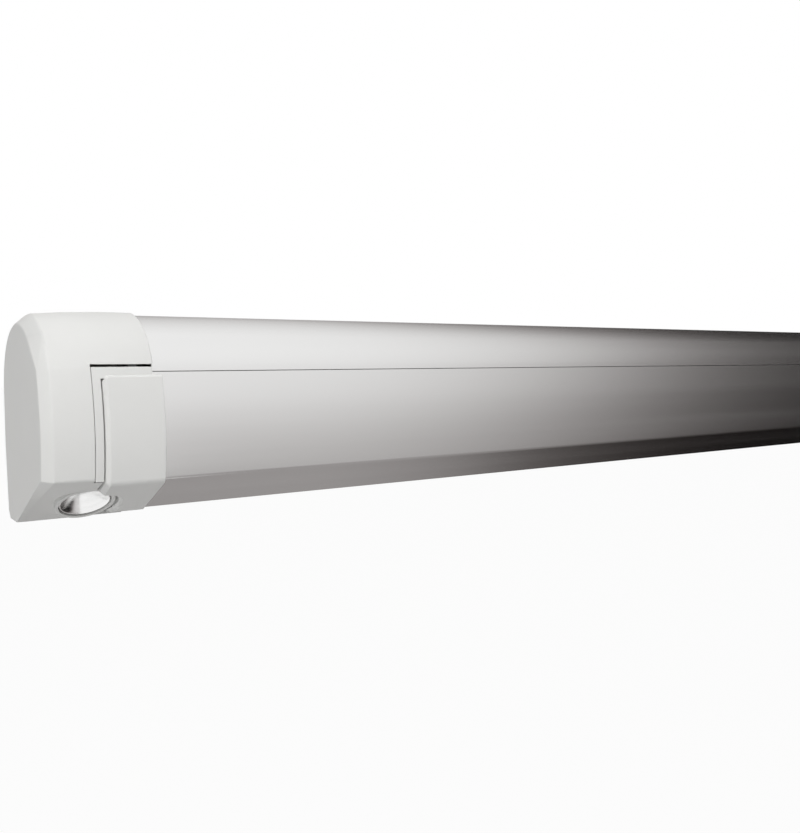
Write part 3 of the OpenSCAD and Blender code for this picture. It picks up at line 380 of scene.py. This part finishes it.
cloth, tree = blank("coated awning cloth")
skin = add(tree, "BsdfPrincipled", {"Sheen Weight": 0.15})
threads = placed(tree, weave)
colour = mixed(tree, spanned(tree, threads["Tone"], 0.0, 1.0), (0.225, 0.23, 0.235), (0.265, 0.27, 0.275))
colour = mixed(tree, calc(tree, "MULTIPLY", threads["Hem"], 0.45), colour, (0.14, 0.143, 0.147))
tree.links.new(colour, skin.inputs["Base Color"])
tree.links.new(spanned(tree, threads["Tone"], 0.62, 0.74), skin.inputs["Roughness"])
lift = add(tree, "Bump", {"Height": threads["Height"], "Strength": 0.2, "Distance": BUMP_DEPTH})
tree.links.new(lift.outputs[0], skin.inputs["Normal"])
add(tree, "OutputMaterial", {"Surface": skin.outputs[0]})
FINISH["awning_cloth"] = cloth
print("finish:", cloth.name)

# %% [markdown]
# Most CAD nodes have the right shape and keep it. Each takes the finish of its slot in the
# record, which is the name of the plain material that it came with.

# %% Dress the CAD nodes
SLOT_OF = {n: o.data.materials[0].name.split(".")[0] for n, o in NODES.items()}
for name, node in NODES.items():
    node.data.materials.clear()
    node.data.materials.append(FINISH[SLOT_OF[name]])
print("dressed:", len(NODES), "nodes in", len(set(SLOT_OF.values())), "finishes")

# %% [markdown]
# The caps are what the eye goes to first: one soft moulded shell with a bevel round a flat face,
# and a raised panel on the lead rail's own cap. Their solids come as loose flat facets. A merged
# copy with smooth faces, true edges and weighted normals shows the same form as one moulding.

# %% Smooth copies of the moulded caps
CAP_NODES = ("end_cap_left", "end_cap_right", "lead_rail_cap_left", "lead_rail_cap_right")
CAP_EDGE, FLAT = math.radians(33.0), math.radians(0.4)
WELD = 1e-5


def piece(name, mesh, node):
    """A finished mesh as a piece that stands for a CAD node and rides on that node's body."""
    made = put(name, mesh)
    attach(made, BODY_OF[node])
    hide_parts(node)
    return made


def merged(node):
    """A copy of a CAD node's mesh with its triangles joined into whole faces."""
    shell = bmesh.new()
    shell.from_mesh(NODES[node].data)
    bmesh.ops.remove_doubles(shell, verts=shell.verts, dist=WELD)
    bmesh.ops.dissolve_limit(shell, angle_limit=FLAT, verts=shell.verts, edges=shell.edges)
    mesh = bpy.data.meshes.new(node + "_skin")
    mesh.from_pydata([v.co for v in shell.verts], [], [[v.index for v in f.verts] for f in shell.faces])
    shell.free()
    mesh.materials.append(FINISH[SLOT_OF[node]])
    return mesh


def moulded(node):
    mesh = merged(node)
    mesh.shade_smooth()
    mesh.set_sharp_from_angle(angle=CAP_EDGE)
    made = piece(node + "_moulding", mesh, node)
    made.modifiers.new("even normals", "WEIGHTED_NORMAL").keep_sharp = True
    return made


CAPS = {cap: moulded(cap) for cap in CAP_NODES}
for cap, made in CAPS.items():
    print("moulding:", cap, len(made.data.polygons), "faces")

# %% [markdown]
# The raised panel has a round notch where it makes room for the crank eye. The edge of the notch
# is broken by a wide lead-in. A bevel on so short an arc has nowhere to end, so the wall of the
# notch is cut a little below its rim, and the rim slides sideways in the plane of the lower bevel.
# The lead-in grows from nothing to its full width over a part of the arc, given in degrees.

# %% Lead-in of the notch beside the crank eye
NOTCH_RADIUS, NOTCH_SIDE = 0.0233, 0.004
LEAD_IN, LEAD_DEPTH = 0.0034, 0.0021
LEAD_START, LEAD_FULL = -67.0, -42.0
LOW_BEVEL_LEAN = math.radians(28.7)
NEAR_WALL, NEAR_RIM = 0.0002, 0.00005
out_of_eye = Vector((0.0, -math.sin(EYE_LEAN), -math.cos(EYE_LEAN)))
low_bevel = Vector((0.0, -math.sin(LOW_BEVEL_LEAN), -math.cos(LOW_BEVEL_LEAN)))
panel_cap = CAPS["lead_rail_cap_left"].data


def from_eye(point):
    """The way from the axis of the crank eye to a point, square to that axis."""
    arm = point - EYE_MOUTH
    return arm - arm.dot(out_of_eye) * out_of_eye


def on_notch(vert):
    spoke = from_eye(vert.co)
    return abs(spoke.length - NOTCH_RADIUS) < NEAR_WALL and spoke.x > NOTCH_SIDE


shell = bmesh.new()
shell.from_mesh(panel_cap)
wall = [face for face in shell.faces if all(on_notch(vert) for vert in face.verts)]
wall_edges = dict.fromkeys(edge for face in wall for edge in face.edges)
wall_verts = dict.fromkeys(vert for face in wall for vert in face.verts)
rim_level = max(vert.co.dot(low_bevel) for vert in wall_verts)
bmesh.ops.bisect_plane(shell, geom=[*wall, *wall_edges, *wall_verts], dist=1e-6,
    plane_co=low_bevel * (rim_level - LEAD_DEPTH), plane_no=low_bevel)
rim = [vert for vert in shell.verts if on_notch(vert) and vert.co.dot(low_bevel) > rim_level - NEAR_RIM]
for vert in rim:
    spoke = from_eye(vert.co)
    round_eye = math.degrees(math.atan2(spoke.y, spoke.x))
    vert.co.x += LEAD_IN * min(max((round_eye - LEAD_START) / (LEAD_FULL - LEAD_START), 0.0), 1.0)
shell.to_mesh(panel_cap)
shell.free()
panel_cap.set_sharp_from_angle(angle=CAP_EDGE)
print("lead-in:", len(rim), "points of the rim moved,", len(wall), "faces of the wall cut")

# %% [markdown]
# The crank eye is a turned funnel: a rounded lip, a cone that guides the hook of the crank, and
# a socket with a slot across it. It is spun from its outline, given in millimetres as radius and
# depth, so the lip and the throat can be round. The slot and the bore for the shaft are cut after.

# %% Turned and carved shapes
TURNED_EDGE = math.radians(35.0)


def spun(outline, steps=96):
    """A closed shell of revolution round Z from (radius, height) points."""
    shell = bmesh.new()
    ring = [shell.verts.new((r, 0.0, z)) for r, z in outline]
    edges = [shell.edges.new((a, b)) for a, b in zip(ring, ring[1:])]
    bmesh.ops.spin(shell, geom=ring + edges, axis=(0, 0, 1), cent=(0, 0, 0), angle=2 * math.pi, steps=steps)
    bmesh.ops.remove_doubles(shell, verts=shell.verts, dist=1e-6)
    bmesh.ops.recalc_face_normals(shell, faces=shell.faces)
    return shell


def box_shell(size, centre):
    shell = bmesh.new()
    bmesh.ops.create_cube(shell, size=1.0, matrix=Matrix.Translation(centre) @ Matrix.Diagonal((*size, 1.0)))
    return shell


def as_mesh(shell, name, finish):
    mesh = bpy.data.meshes.new(name)
    shell.to_mesh(mesh)
    shell.free()
    mesh.materials.append(finish)
    mesh.shade_smooth()
    mesh.set_sharp_from_angle(angle=TURNED_EDGE)
    return mesh


def carved(mesh, tools):
    """The mesh with each tool mesh cut away, as a new mesh."""
    body = put("carve_body", mesh)
    helpers = [put(f"carve_tool_{k}", tool) for k, tool in enumerate(tools)]
    for helper in helpers:
        cut = body.modifiers.new("cut", "BOOLEAN")
        cut.object, cut.operation, cut.solver = helper, "DIFFERENCE", "EXACT"
    bpy.context.view_layer.update()
    done = bpy.data.meshes.new_from_object(body.evaluated_get(bpy.context.evaluated_depsgraph_get()))
    for helper in [body, *helpers]:
        bpy.data.objects.remove(helper)
    return done


print("turning and carving ready")

# %% Crank eye
MM = 1000
SLOT_SIZE, SLOT_AT, SLOT_TURN = (0.0042, 0.021, 0.014), (0.0, 0.0, 0.022), math.radians(50.0)
BORE_RADIUS, BORE_FROM, BORE_TO = 0.0058, 0.037, 0.060
funnel = [(0.0, 34.0), (8.2, 34.0), (8.5, 33.7), (8.5, 16.2), (8.7, 15.2), (9.2, 14.1), (10.6, 11.6),
    (13.2, 7.2), (15.8, 2.9), (16.5, 1.75), (16.95, 1.25), (17.3, 1.05), (17.6, 1.0), (17.85, 1.1),
    (17.97, 1.3), (18.0, 1.6), (18.0, 3.3), (17.9, 3.6), (12.0, 18.4), (11.75, 18.9), (11.7, 19.3),
    (11.7, 45.6), (11.3, 46.0), (0.0, 46.0)]
bore = [(0.0, BORE_FROM), (BORE_RADIUS, BORE_FROM), (BORE_RADIUS, BORE_TO), (0.0, BORE_TO)]
eye = as_mesh(spun([(r / MM, z / MM) for r, z in funnel]), "crank_eye_turned", FINISH["eye_metal"])
slot_tool = as_mesh(box_shell(SLOT_SIZE, SLOT_AT), "eye_slot", FINISH["eye_metal"])
bore_tool = as_mesh(spun(bore, 48), "eye_bore", FINISH["eye_metal"])
eye = carved(eye, [slot_tool, bore_tool])
eye.transform(Matrix.Translation(EYE_MOUTH) @ Matrix.Rotation(-EYE_LEAN, 4, "X")
    @ Matrix.Rotation(SLOT_TURN, 4, "Z"))
piece("crank_eye_turned", eye, "crank_eye")
print("crank eye:", len(eye.polygons), "faces")

# %% [markdown]
# Fasteners repeat, so Geometry Nodes set them out. One screw is spun and its recess is cut, the
# tree puts it on each point with the turn stored there, and the result becomes a plain mesh. Every
# tree here ends in the same way: its instances are made real and take their finish.


# %% Fastener tree
def geometry_tree(name, inputs):
    """A Geometry Nodes tree: the tree, the sockets that come in and the socket that ends it."""
    tree = bpy.data.node_groups.new(name, "GeometryNodeTree")
    for label, kind in (*inputs, ("Finish", "Material")):
        tree.interface.new_socket(label, in_out="INPUT", socket_type="NodeSocket" + kind)
    tree.interface.new_socket("Mesh", in_out="OUTPUT", socket_type="NodeSocketGeometry")
    given = tree.nodes.new("NodeGroupInput").outputs
    real = add(tree, "RealizeInstances")
    coat = add(tree, "SetMaterial", {"Geometry": real.outputs[0], "Material": given["Finish"]})
    tree.links.new(coat.outputs[0], tree.nodes.new("NodeGroupOutput").inputs["Mesh"])
    return tree, given, real.inputs[0]


setter, given, ending = geometry_tree("set out fasteners",
    [("Points", "Geometry"), ("Fastener", "Object"), ("Size", "Float")])
shape = add(setter, "ObjectInfo", {"Object": given["Fastener"]}).outputs["Geometry"]
turn = add(setter, "InputNamedAttribute", {"Name": "turn"}, data_type="FLOAT_VECTOR").outputs["Attribute"]
spots = add(setter, "InstanceOnPoints",
    {"Points": given["Points"], "Instance": shape, "Rotation": turn, "Scale": given["Size"]})
setter.links.new(spots.outputs[0], ending)
print("tree:", setter.name)

# %% [markdown]
# A modifier runs the tree on a small mesh of points. Its inputs are set by their identifiers,
# the evaluated result is copied out as a mesh of its own, and the helpers are removed again.


# %% Run a tree
def socket_id(tree, label):
    return next(s.identifier for s in tree.interface.items_tree if s.name == label and s.in_out == "INPUT")


def grown(tree, base, **inputs):
    """The mesh that a Geometry Nodes tree makes from a base mesh."""
    host = put("grow_host", base)
    run = host.modifiers.new("grow", "NODES")
    run.node_group = tree
    for label, value in inputs.items():
        run[socket_id(tree, label.replace("_", " "))] = value
    bpy.context.view_layer.update()
    mesh = bpy.data.meshes.new_from_object(host.evaluated_get(bpy.context.evaluated_depsgraph_get()))
    bpy.data.objects.remove(host)
    return mesh


def point_mesh(points, turns):
    mesh = bpy.data.meshes.new("fastener_points")
    mesh.from_pydata(points, [], [])
    mesh.attributes.new("turn", "FLOAT_VECTOR", "POINT").data.foreach_set("vector", np.array(turns).ravel())
    return mesh


def set_out(node, template, points, turns):
    """Threaded fasteners in the place of a CAD node, one on each point."""
    holder = put("fastener", template)
    mesh = grown(setter, point_mesh(points, turns), Fastener=holder, Size=1.0, Finish=FINISH["steel"])
    bpy.data.objects.remove(holder)
    mesh.name = node + "_threaded"
    mesh.shade_smooth()
    mesh.set_sharp_from_angle(angle=TURNED_EDGE)
    piece(mesh.name, mesh, node)
    print("fasteners:", mesh.name, len(points), "set out,", len(mesh.polygons), "faces")


print("fastener setter ready")

# %% [markdown]
# The end plates are held by long screws and the wall brackets are locked by short ones. Both have
# a pan head with a cross recess. A plain cylinder would do from afar, but the thread and the cross
# are what makes it a screw. Each stands in the middle of its own solid in the CAD node.

# %% Screws
QUARTER_TURN = math.pi / 2
THREAD_PITCH = 0.0016
PLATE_SCREW = {"head": 0.0046, "high": 0.0030, "shank": 0.0020, "long": 0.0215}
LOCK_SCREW = {"head": 0.0045, "high": 0.0024, "shank": 0.0025, "long": 0.0052}
PLATE_TWIST, LOCK_TWIST = 0.4, 0.5


def screw(head, high, shank, long):
    """A pan head screw along -Z from its seat at 0, with a cross cut in its head."""
    dome = [(0.0, high), (head * 0.55, high * 0.97), (head * 0.85, high * 0.72), (head, high * 0.25),
        (head, 0.0), (shank * 0.9, 0.0)]
    thread = []
    for k in range(int(long / THREAD_PITCH)):
        crest = (shank, -THREAD_PITCH / 2 - k * THREAD_PITCH)
        root = (shank * 0.84, -THREAD_PITCH - k * THREAD_PITCH)
        thread += [crest, root]
    tip = [(shank * 0.5, -long), (0.0, -long - shank * 0.4)]
    mesh = as_mesh(spun(dome + thread + tip, 24), "screw", FINISH["steel"])
    bar, slit, depth = head * 1.15, head * 0.24, high * 1.3
    cross = [box_shell(size, (0, 0, high * 1.02)) for size in ((bar, slit, depth), (slit, bar, depth))]
    return carved(mesh, [as_mesh(tool, "recess", FINISH["steel"]) for tool in cross])


def islands(node):
    """Low and high corner of each separate solid in a CAD node."""
    shell = bmesh.new()
    shell.from_mesh(NODES[node].data)
    bmesh.ops.remove_doubles(shell, verts=shell.verts, dist=WELD)
    shell.verts.ensure_lookup_table()
    seen, found = set(), []
    for start in shell.verts:
        if start in seen:
            continue
        stack, whole = [start], []
        seen.add(start)
        while stack:
            vert = stack.pop()
            whole.append(vert.co.copy())
            for other in (e.other_vert(vert) for e in vert.link_edges):
                if other not in seen:
                    seen.add(other)
                    stack.append(other)
        co = np.array(whole)
        found.append((Vector(co.min(0)), Vector(co.max(0))))
    shell.free()
    return found


seats, turns = [], []
for k, (low, high) in enumerate(islands("end_plate_screws")):
    on_left, middle = low.x < 0, (low + high) / 2
    seat_x = low.x + PLATE_SCREW["high"] if on_left else high.x - PLATE_SCREW["high"]
    seats.append((seat_x, middle.y, middle.z))
    turns.append((-QUARTER_TURN, PLATE_TWIST * k, QUARTER_TURN if on_left else -QUARTER_TURN))
set_out("end_plate_screws", screw(**PLATE_SCREW), seats, turns)

seats, turns = [], []
for k, (low, high) in enumerate(islands("bracket_lock_screws")):
    middle = (low + high) / 2
    seats.append((middle.x, middle.y, low.z + LOCK_SCREW["high"]))
    turns.append((math.pi, 0.0, LOCK_TWIST * k))
set_out("bracket_lock_screws", screw(**LOCK_SCREW), seats, turns)

# %% [markdown]
# Each outer arm holds a long tension spring that pulls the awning open. The solid in the frame is
# a plain sleeve; the real thing is a coil between two end plugs, with a rod at the wrist and a cable
# at the elbow. A spiral curve with a round profile gives the coil at any number of turns.

# %% Spring tree
coiler, given, ending = geometry_tree("wind a spring", [("Base", "Geometry"), ("Turns", "Float"),
    ("Coil Radius", "Float"), ("Wire Radius", "Float"), ("Length", "Float"), ("Start", "Vector")])
spiral = add(coiler, "CurveSpiral", {"Resolution": 14, "Rotations": given["Turns"], "Height": given["Length"],
    "Start Radius": given["Coil Radius"], "End Radius": given["Coil Radius"]})
wire = add(coiler, "CurvePrimitiveCircle", {"Resolution": 7, "Radius": given["Wire Radius"]})
tube = add(coiler, "CurveToMesh",
    {"Curve": spiral.outputs[0], "Profile Curve": wire.outputs[0], "Fill Caps": True})
laid = add(coiler, "Transform", {"Geometry": tube.outputs[0], "Translation": given["Start"],
    "Rotation": (0.0, QUARTER_TURN, 0.0)})
both = add(coiler, "JoinGeometry")
for part in (given["Base"], laid.outputs[0]):
    coiler.links.new(part, both.inputs[0])
coiler.links.new(both.outputs[0], ending)
print("tree:", coiler.name)

# %% [markdown]
# Rod, plugs and cable are one turned outline along the arm, given as distance and radius. A plug
# has a stem that goes into the coil, and the coil starts a little away from the plug's face. The
# right arm's spring runs the other way.

# %% Arm springs
ROD, SPRING, PLUG, STEM = 0.120, 0.500, 0.004, 0.030
ROD_RADIUS, PLUG_RADIUS, STEM_RADIUS, CABLE_RADIUS = 0.0025, 0.0085, 0.0053, 0.0020
ROD_FACE, ROD_CHAMFER = 0.0022, 0.0008
PLUG_FACE, PLUG_CHAMFER = 0.0080, 0.0006
COIL_GAP = 0.0017
COIL_EDGE = math.radians(50.0)
coil_end = ROD + SPRING
for side in ("left", "right"):
    low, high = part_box("arm_spring_" + side)
    middle, out = (low + high) / 2, 1.0 if side == "left" else -1.0
    first = low.x if side == "left" else high.x
    length = high.x - low.x
    stations = [(0.0, 0.0), (0.0, ROD_FACE), (ROD_CHAMFER, ROD_RADIUS), (ROD - PLUG, ROD_RADIUS),
        (ROD - PLUG, PLUG_FACE), (ROD - PLUG + PLUG_CHAMFER, PLUG_RADIUS), (ROD, PLUG_RADIUS),
        (ROD, STEM_RADIUS), (ROD + STEM, STEM_RADIUS), (ROD + STEM, 0.0),
        (coil_end - STEM, 0.0), (coil_end - STEM, STEM_RADIUS), (coil_end, STEM_RADIUS),
        (coil_end, PLUG_RADIUS), (coil_end + PLUG - PLUG_CHAMFER, PLUG_RADIUS), (coil_end + PLUG, PLUG_FACE),
        (coil_end + PLUG, CABLE_RADIUS), (length, CABLE_RADIUS), (length, 0.0)]
    rods = as_mesh(spun([(r, x) for x, r in stations], 24), "spring_rods", FINISH["steel"])
    rods.transform(Matrix.Translation((first, middle.y, middle.z))
        @ Matrix.Rotation(out * QUARTER_TURN, 4, "Y"))
    coil_from = (first + ROD if side == "left" else first - ROD - SPRING) + COIL_GAP
    coil = grown(coiler, rods, Turns=142.0, Coil_Radius=0.0069, Wire_Radius=0.0015,
        Length=SPRING - 2 * COIL_GAP, Start=(coil_from, middle.y, middle.z), Finish=FINISH["steel"])
    coil.shade_smooth()
    coil.set_sharp_from_angle(angle=COIL_EDGE)
    piece("arm_spring_" + side + "_wound", coil, "arm_spring_" + side)
    print("spring:", side, len(coil.polygons), "faces")

# %% [markdown]
# The cloth is wound on the roller at rest. A rolled sheet is a spiral whose radius shrinks by one
# pitch each turn, and its length follows from the turns. It starts where the short run to the
# lead rail leaves the underside of the roll, so the two read as one cloth.

# %% Cloth on the roller
TURN_PITCH, RUN_LIFT = 0.0005, 0.0006
ROLL_INSET, CORE_GAP = 0.0003, 0.0006
STEPS_A_TURN, COLUMNS = 48, 10
ROLL_SHEET = 0.0003


def grid_faces(rows, columns):
    """The faces of a grid of points that are listed row by row."""
    return [(r * columns + c, r * columns + c + 1, (r + 1) * columns + c + 1, (r + 1) * columns + c)
        for r in range(rows - 1) for c in range(columns - 1)]


def ribbon(rows, xs, distances, name):
    """A sheet from section points (y, z), swept over the x stations, with UV in metres."""
    mesh = bpy.data.meshes.new(name)
    mesh.from_pydata([(x, y, z) for y, z in rows for x in xs], [], grid_faces(len(rows), len(xs)))
    layer = mesh.uv_layers.new(name="UVMap")
    for loop in mesh.loops:
        r, c = divmod(loop.vertex_index, len(xs))
        layer.data[loop.index].uv = (xs[c], distances[r])
    mesh.materials.append(FINISH["awning_cloth"])
    mesh.shade_smooth()
    return mesh


def thicken(sheet, thickness):
    solid = sheet.modifiers.new("thickness", "SOLIDIFY")
    solid.thickness, solid.offset = thickness, 0.0


roll_low, roll_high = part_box("fabric_roll")
tube_low, tube_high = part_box("roller_tube")
keder_low, keder_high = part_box("front_keder")
axis = np.array([(roll_low.y + roll_high.y) / 2, (roll_low.z + roll_high.z) / 2])
groove = np.array([(keder_low.y + keder_high.y) / 2, (keder_low.z + keder_high.z) / 2])
roll_radius = (roll_high.z - roll_low.z) / 2
core_radius = (tube_high.z - tube_low.z) / 2
width = roll_high.x - roll_low.x
leave_gap = float(np.linalg.norm(groove - axis))
leave = math.atan2(*(groove - axis)[::-1]) + math.acos((roll_radius + RUN_LIFT) / leave_gap)
turns = (roll_radius - ROLL_INSET - core_radius - CORE_GAP) / TURN_PITCH
steps = int(turns * STEPS_A_TURN)
swept = [turns * 2 * math.pi * k / steps for k in range(steps + 1)]
radii = [roll_radius - ROLL_INSET - TURN_PITCH * a / (2 * math.pi) for a in swept]
wound = [axis + r * np.array([math.cos(leave + a), math.sin(leave + a)]) for a, r in zip(swept, radii)]
lengths = np.concatenate([[0.0], np.cumsum(np.linalg.norm(np.diff(wound, axis=0), axis=1))])
xs = [roll_low.x + width * k / COLUMNS for k in range(COLUMNS + 1)]
roll = piece("cloth_roll", ribbon(wound, xs, lengths, "cloth_roll"), "fabric_roll")
thicken(roll, ROLL_SHEET)
print("cloth roll:", round(turns, 1), "turns,", round(float(lengths[-1]), 3), "m of cloth")

# %% [markdown]
# The run from the roll to the lead rail is the part of the cloth that is seen when the awning is
# open. It is held by the cassette at the roll and by the keder at the front, and it ends at the
# mouth of the keder's groove. The weave is set out for the open cloth: it spreads over the whole
# reach with a smooth step that ends at that mouth, and past it the weave is not stretched.

# %% Cloth run
KEDER_EDGE, GROOVE_MOUTH = 0.0031, 0.0054
ROWS = 48
RUN_SHEET = 0.0004
REACH = next(j["range_m"][1] for j in frame["joints"] if j["name"] == "fabric_pull")
leave_at = axis + (roll_radius + RUN_LIFT) * np.array([math.cos(leave), math.sin(leave)])
to_roll = (leave_at - groove) / np.linalg.norm(leave_at - groove)
inner, mouth = groove + KEDER_EDGE * to_roll, groove + GROOVE_MOUTH * to_roll
run_length = float(np.linalg.norm(inner - leave_at))
free_length = float(np.linalg.norm(mouth - leave_at))
shares = np.linspace(0.0, 1.0, ROWS + 1)
rows = [leave_at + t * (inner - leave_at) for t in shares]
free = np.minimum(shares * run_length / free_length, 1.0)
opened = [float(REACH * f * f * (3 - 2 * f) + t * run_length) for t, f in zip(shares, free)]
run = put("cloth_run", ribbon(rows, xs, opened, "cloth_run"))
thicken(run, RUN_SHEET)
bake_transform(run)
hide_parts("fabric_run")
print("cloth run:", round(run_length * 1000, 1), "mm at rest")

# %% [markdown]
# A pale floor and a white surround stand in for the studio. The floor glows white to the camera,
# with a share of plain paint left, so that it still takes the shadow of the awning.

# %% Floor and white surround
FLOOR_Z, FLOOR_SIZE = -2.679, 160.0
GLOW_SHARE, AMBIENT = 0.96, 0.24
WHITE = (1.0, 1.0, 1.0, 1.0)
bpy.ops.mesh.primitive_plane_add(size=FLOOR_SIZE, location=(0.0, 0.0, FLOOR_Z))
floor = bpy.context.object
floor.name = "studio_floor"
paper, tree = blank("pale studio floor")
flat = add(tree, "BsdfPrincipled", {"Base Color": (0.80, 0.80, 0.80, 1.0), "Roughness": 0.9})
glow = add(tree, "Emission", {"Strength": 1.0})
rays = add(tree, "LightPath").outputs
seen = calc(tree, "MAXIMUM", rays["Is Camera Ray"], rays["Is Glossy Ray"])
blend = add(tree, "MixShader", {0: calc(tree, "MULTIPLY", seen, GLOW_SHARE), 1: flat.outputs[0],
    2: glow.outputs[0]})
add(tree, "OutputMaterial", {"Surface": blend.outputs[0]})
floor.data.materials.append(paper)

world = bpy.data.worlds.new("white studio")
bpy.context.scene.world = world
world.use_nodes = True
tree = world.node_tree
tree.nodes.clear()
ambient = add(tree, "Background", {"Color": WHITE, "Strength": AMBIENT})
backdrop = add(tree, "Background", {"Color": WHITE, "Strength": 1.0})
rays = add(tree, "LightPath").outputs
seen = calc(tree, "MAXIMUM", calc(tree, "MAXIMUM", rays["Is Camera Ray"], rays["Is Glossy Ray"]),
    rays["Is Transmission Ray"])
blend = add(tree, "MixShader", {0: seen, 1: ambient.outputs[0], 2: backdrop.outputs[0]})
add(tree, "OutputWorld", {"Surface": blend.outputs[0]})
print("stage: floor at", FLOOR_Z, "m")

# %% [markdown]
# Bare metal shows what stands around it. In the photograph the aluminium is bright near the caps
# and goes dark to the right, because a studio has dark flags beside and behind the object. One
# curved flag does that here: its tone goes from white to black round the awning, and only
# reflections see it. The darker its tone, the warmer it is.

# %% Graduated flag for the reflections
FLAG_CENTRE = np.array([-1.0, -0.1, 0.0])
FLAG_RADIUS, FLAG_DROP = 8.0, 2.3
FLAG_TURNS = np.linspace(12.0, 200.0, 64)
FLAG_RISES = np.linspace(-78.0, 74.0, 52)
WARMTH = (1.0, 1.045, 1.055, 0.0)
LEFT_END, DARK_END, DARK_CORNER = 0.36, 0.70, 0.6


def flag_tone(side, back, up):
    """Tone of the card in one direction: bright ahead and above, dark to the right and behind."""
    side = max(side, LEFT_END)
    bright = 12.3 * side - 15.6 * side ** 2 - 1.8 * side * back - 2.3
    bright += up * (2.5 + 1.2 * up - 1.6 * side - 0.85 * back)
    bright -= 60.0 * max(side - DARK_END, 0.0) ** 2
    bright -= 25.0 * max(side - DARK_CORNER, 0.0) * max(-up, 0.0) * max(back, 0.0)
    return 1.0 / (1.0 + math.exp(-bright))


def flag_reach(down):
    """How far off the card stands: on a wide round, and nearer below so that it clears the floor."""
    return min(FLAG_RADIUS, FLAG_DROP / down) if down > 0.0 else FLAG_RADIUS


verts, tones = [], []
for rise in np.radians(FLAG_RISES):
    for turn in np.radians(FLAG_TURNS):
        level = math.cos(rise)
        towards = np.array([math.sin(turn) * level, -math.cos(turn) * level, math.sin(rise)])
        verts.append(FLAG_CENTRE + flag_reach(-towards[2]) * towards)
        tones.append(flag_tone(*towards))
flag_mesh = bpy.data.meshes.new("studio_flag")
flag_mesh.from_pydata(verts, [], grid_faces(len(FLAG_RISES), len(FLAG_TURNS)))
colours = np.power(np.array(tones, np.float32)[:, None], np.array(WARMTH, np.float32))
flag_mesh.attributes.new("tone", "FLOAT_COLOR", "POINT").data.foreach_set("color", colours.ravel())
card, tree = blank("graduated flag")
tone = add(tree, "Attribute", attribute_name="tone").outputs["Color"]
add(tree, "OutputMaterial", {"Surface": add(tree, "Emission", {"Color": tone, "Strength": 1.0}).outputs[0]})
flag_mesh.materials.append(card)
flag = put("studio_flag", flag_mesh)
for ray in ("camera", "diffuse", "transmission", "volume_scatter", "shadow"):
    setattr(flag, "visible_" + ray, False)
print("flag:", len(flag_mesh.polygons), "faces")

# %% [markdown]
# Soft boxes give the plastic its form. The key stands high at the left front, so the front is
# lighter than the end face. One overhead lights the tops, one at the right front keeps the far end
# from going dark, and a small card low at the left lifts the undersides of the caps. The metal
# doesn't mirror them, because the flag already says what it shows.


# %% Lamps
def soft_box(name, at, towards, size, power):
    lamp = bpy.data.lights.new(name, "AREA")
    lamp.shape, lamp.energy = "RECTANGLE", power
    lamp.size, lamp.size_y = size
    made = put(name, lamp)
    made.location = at
    made.rotation_mode = "QUATERNION"
    made.rotation_quaternion = (Vector(towards) - Vector(at)).to_track_quat("-Z", "Y")
    made.visible_glossy = False
    made.visible_camera = False
    print("lamp:", name, power, "W")


soft_box("key_soft_box", (-2.98, -2.6, 2.55), (-1.45, 0.0, 0.0), (2.4, 1.6), 114.0)
soft_box("top_soft_box", (-0.6, -0.8, 3.6), (-0.6, 0.0, 0.0), (3.2, 1.6), 34.0)
soft_box("low_fill_card", (-2.2, -0.7, -0.85), (-1.5, -0.06, -0.05), (0.5, 0.4), 3.8)
soft_box("right_soft_box", (3.2, -2.8, 2.2), (1.8, 0.0, 0.0), (2.4, 1.6), 26.0)

# %% Colour view
bpy.context.scene.view_settings.view_transform = "Standard"
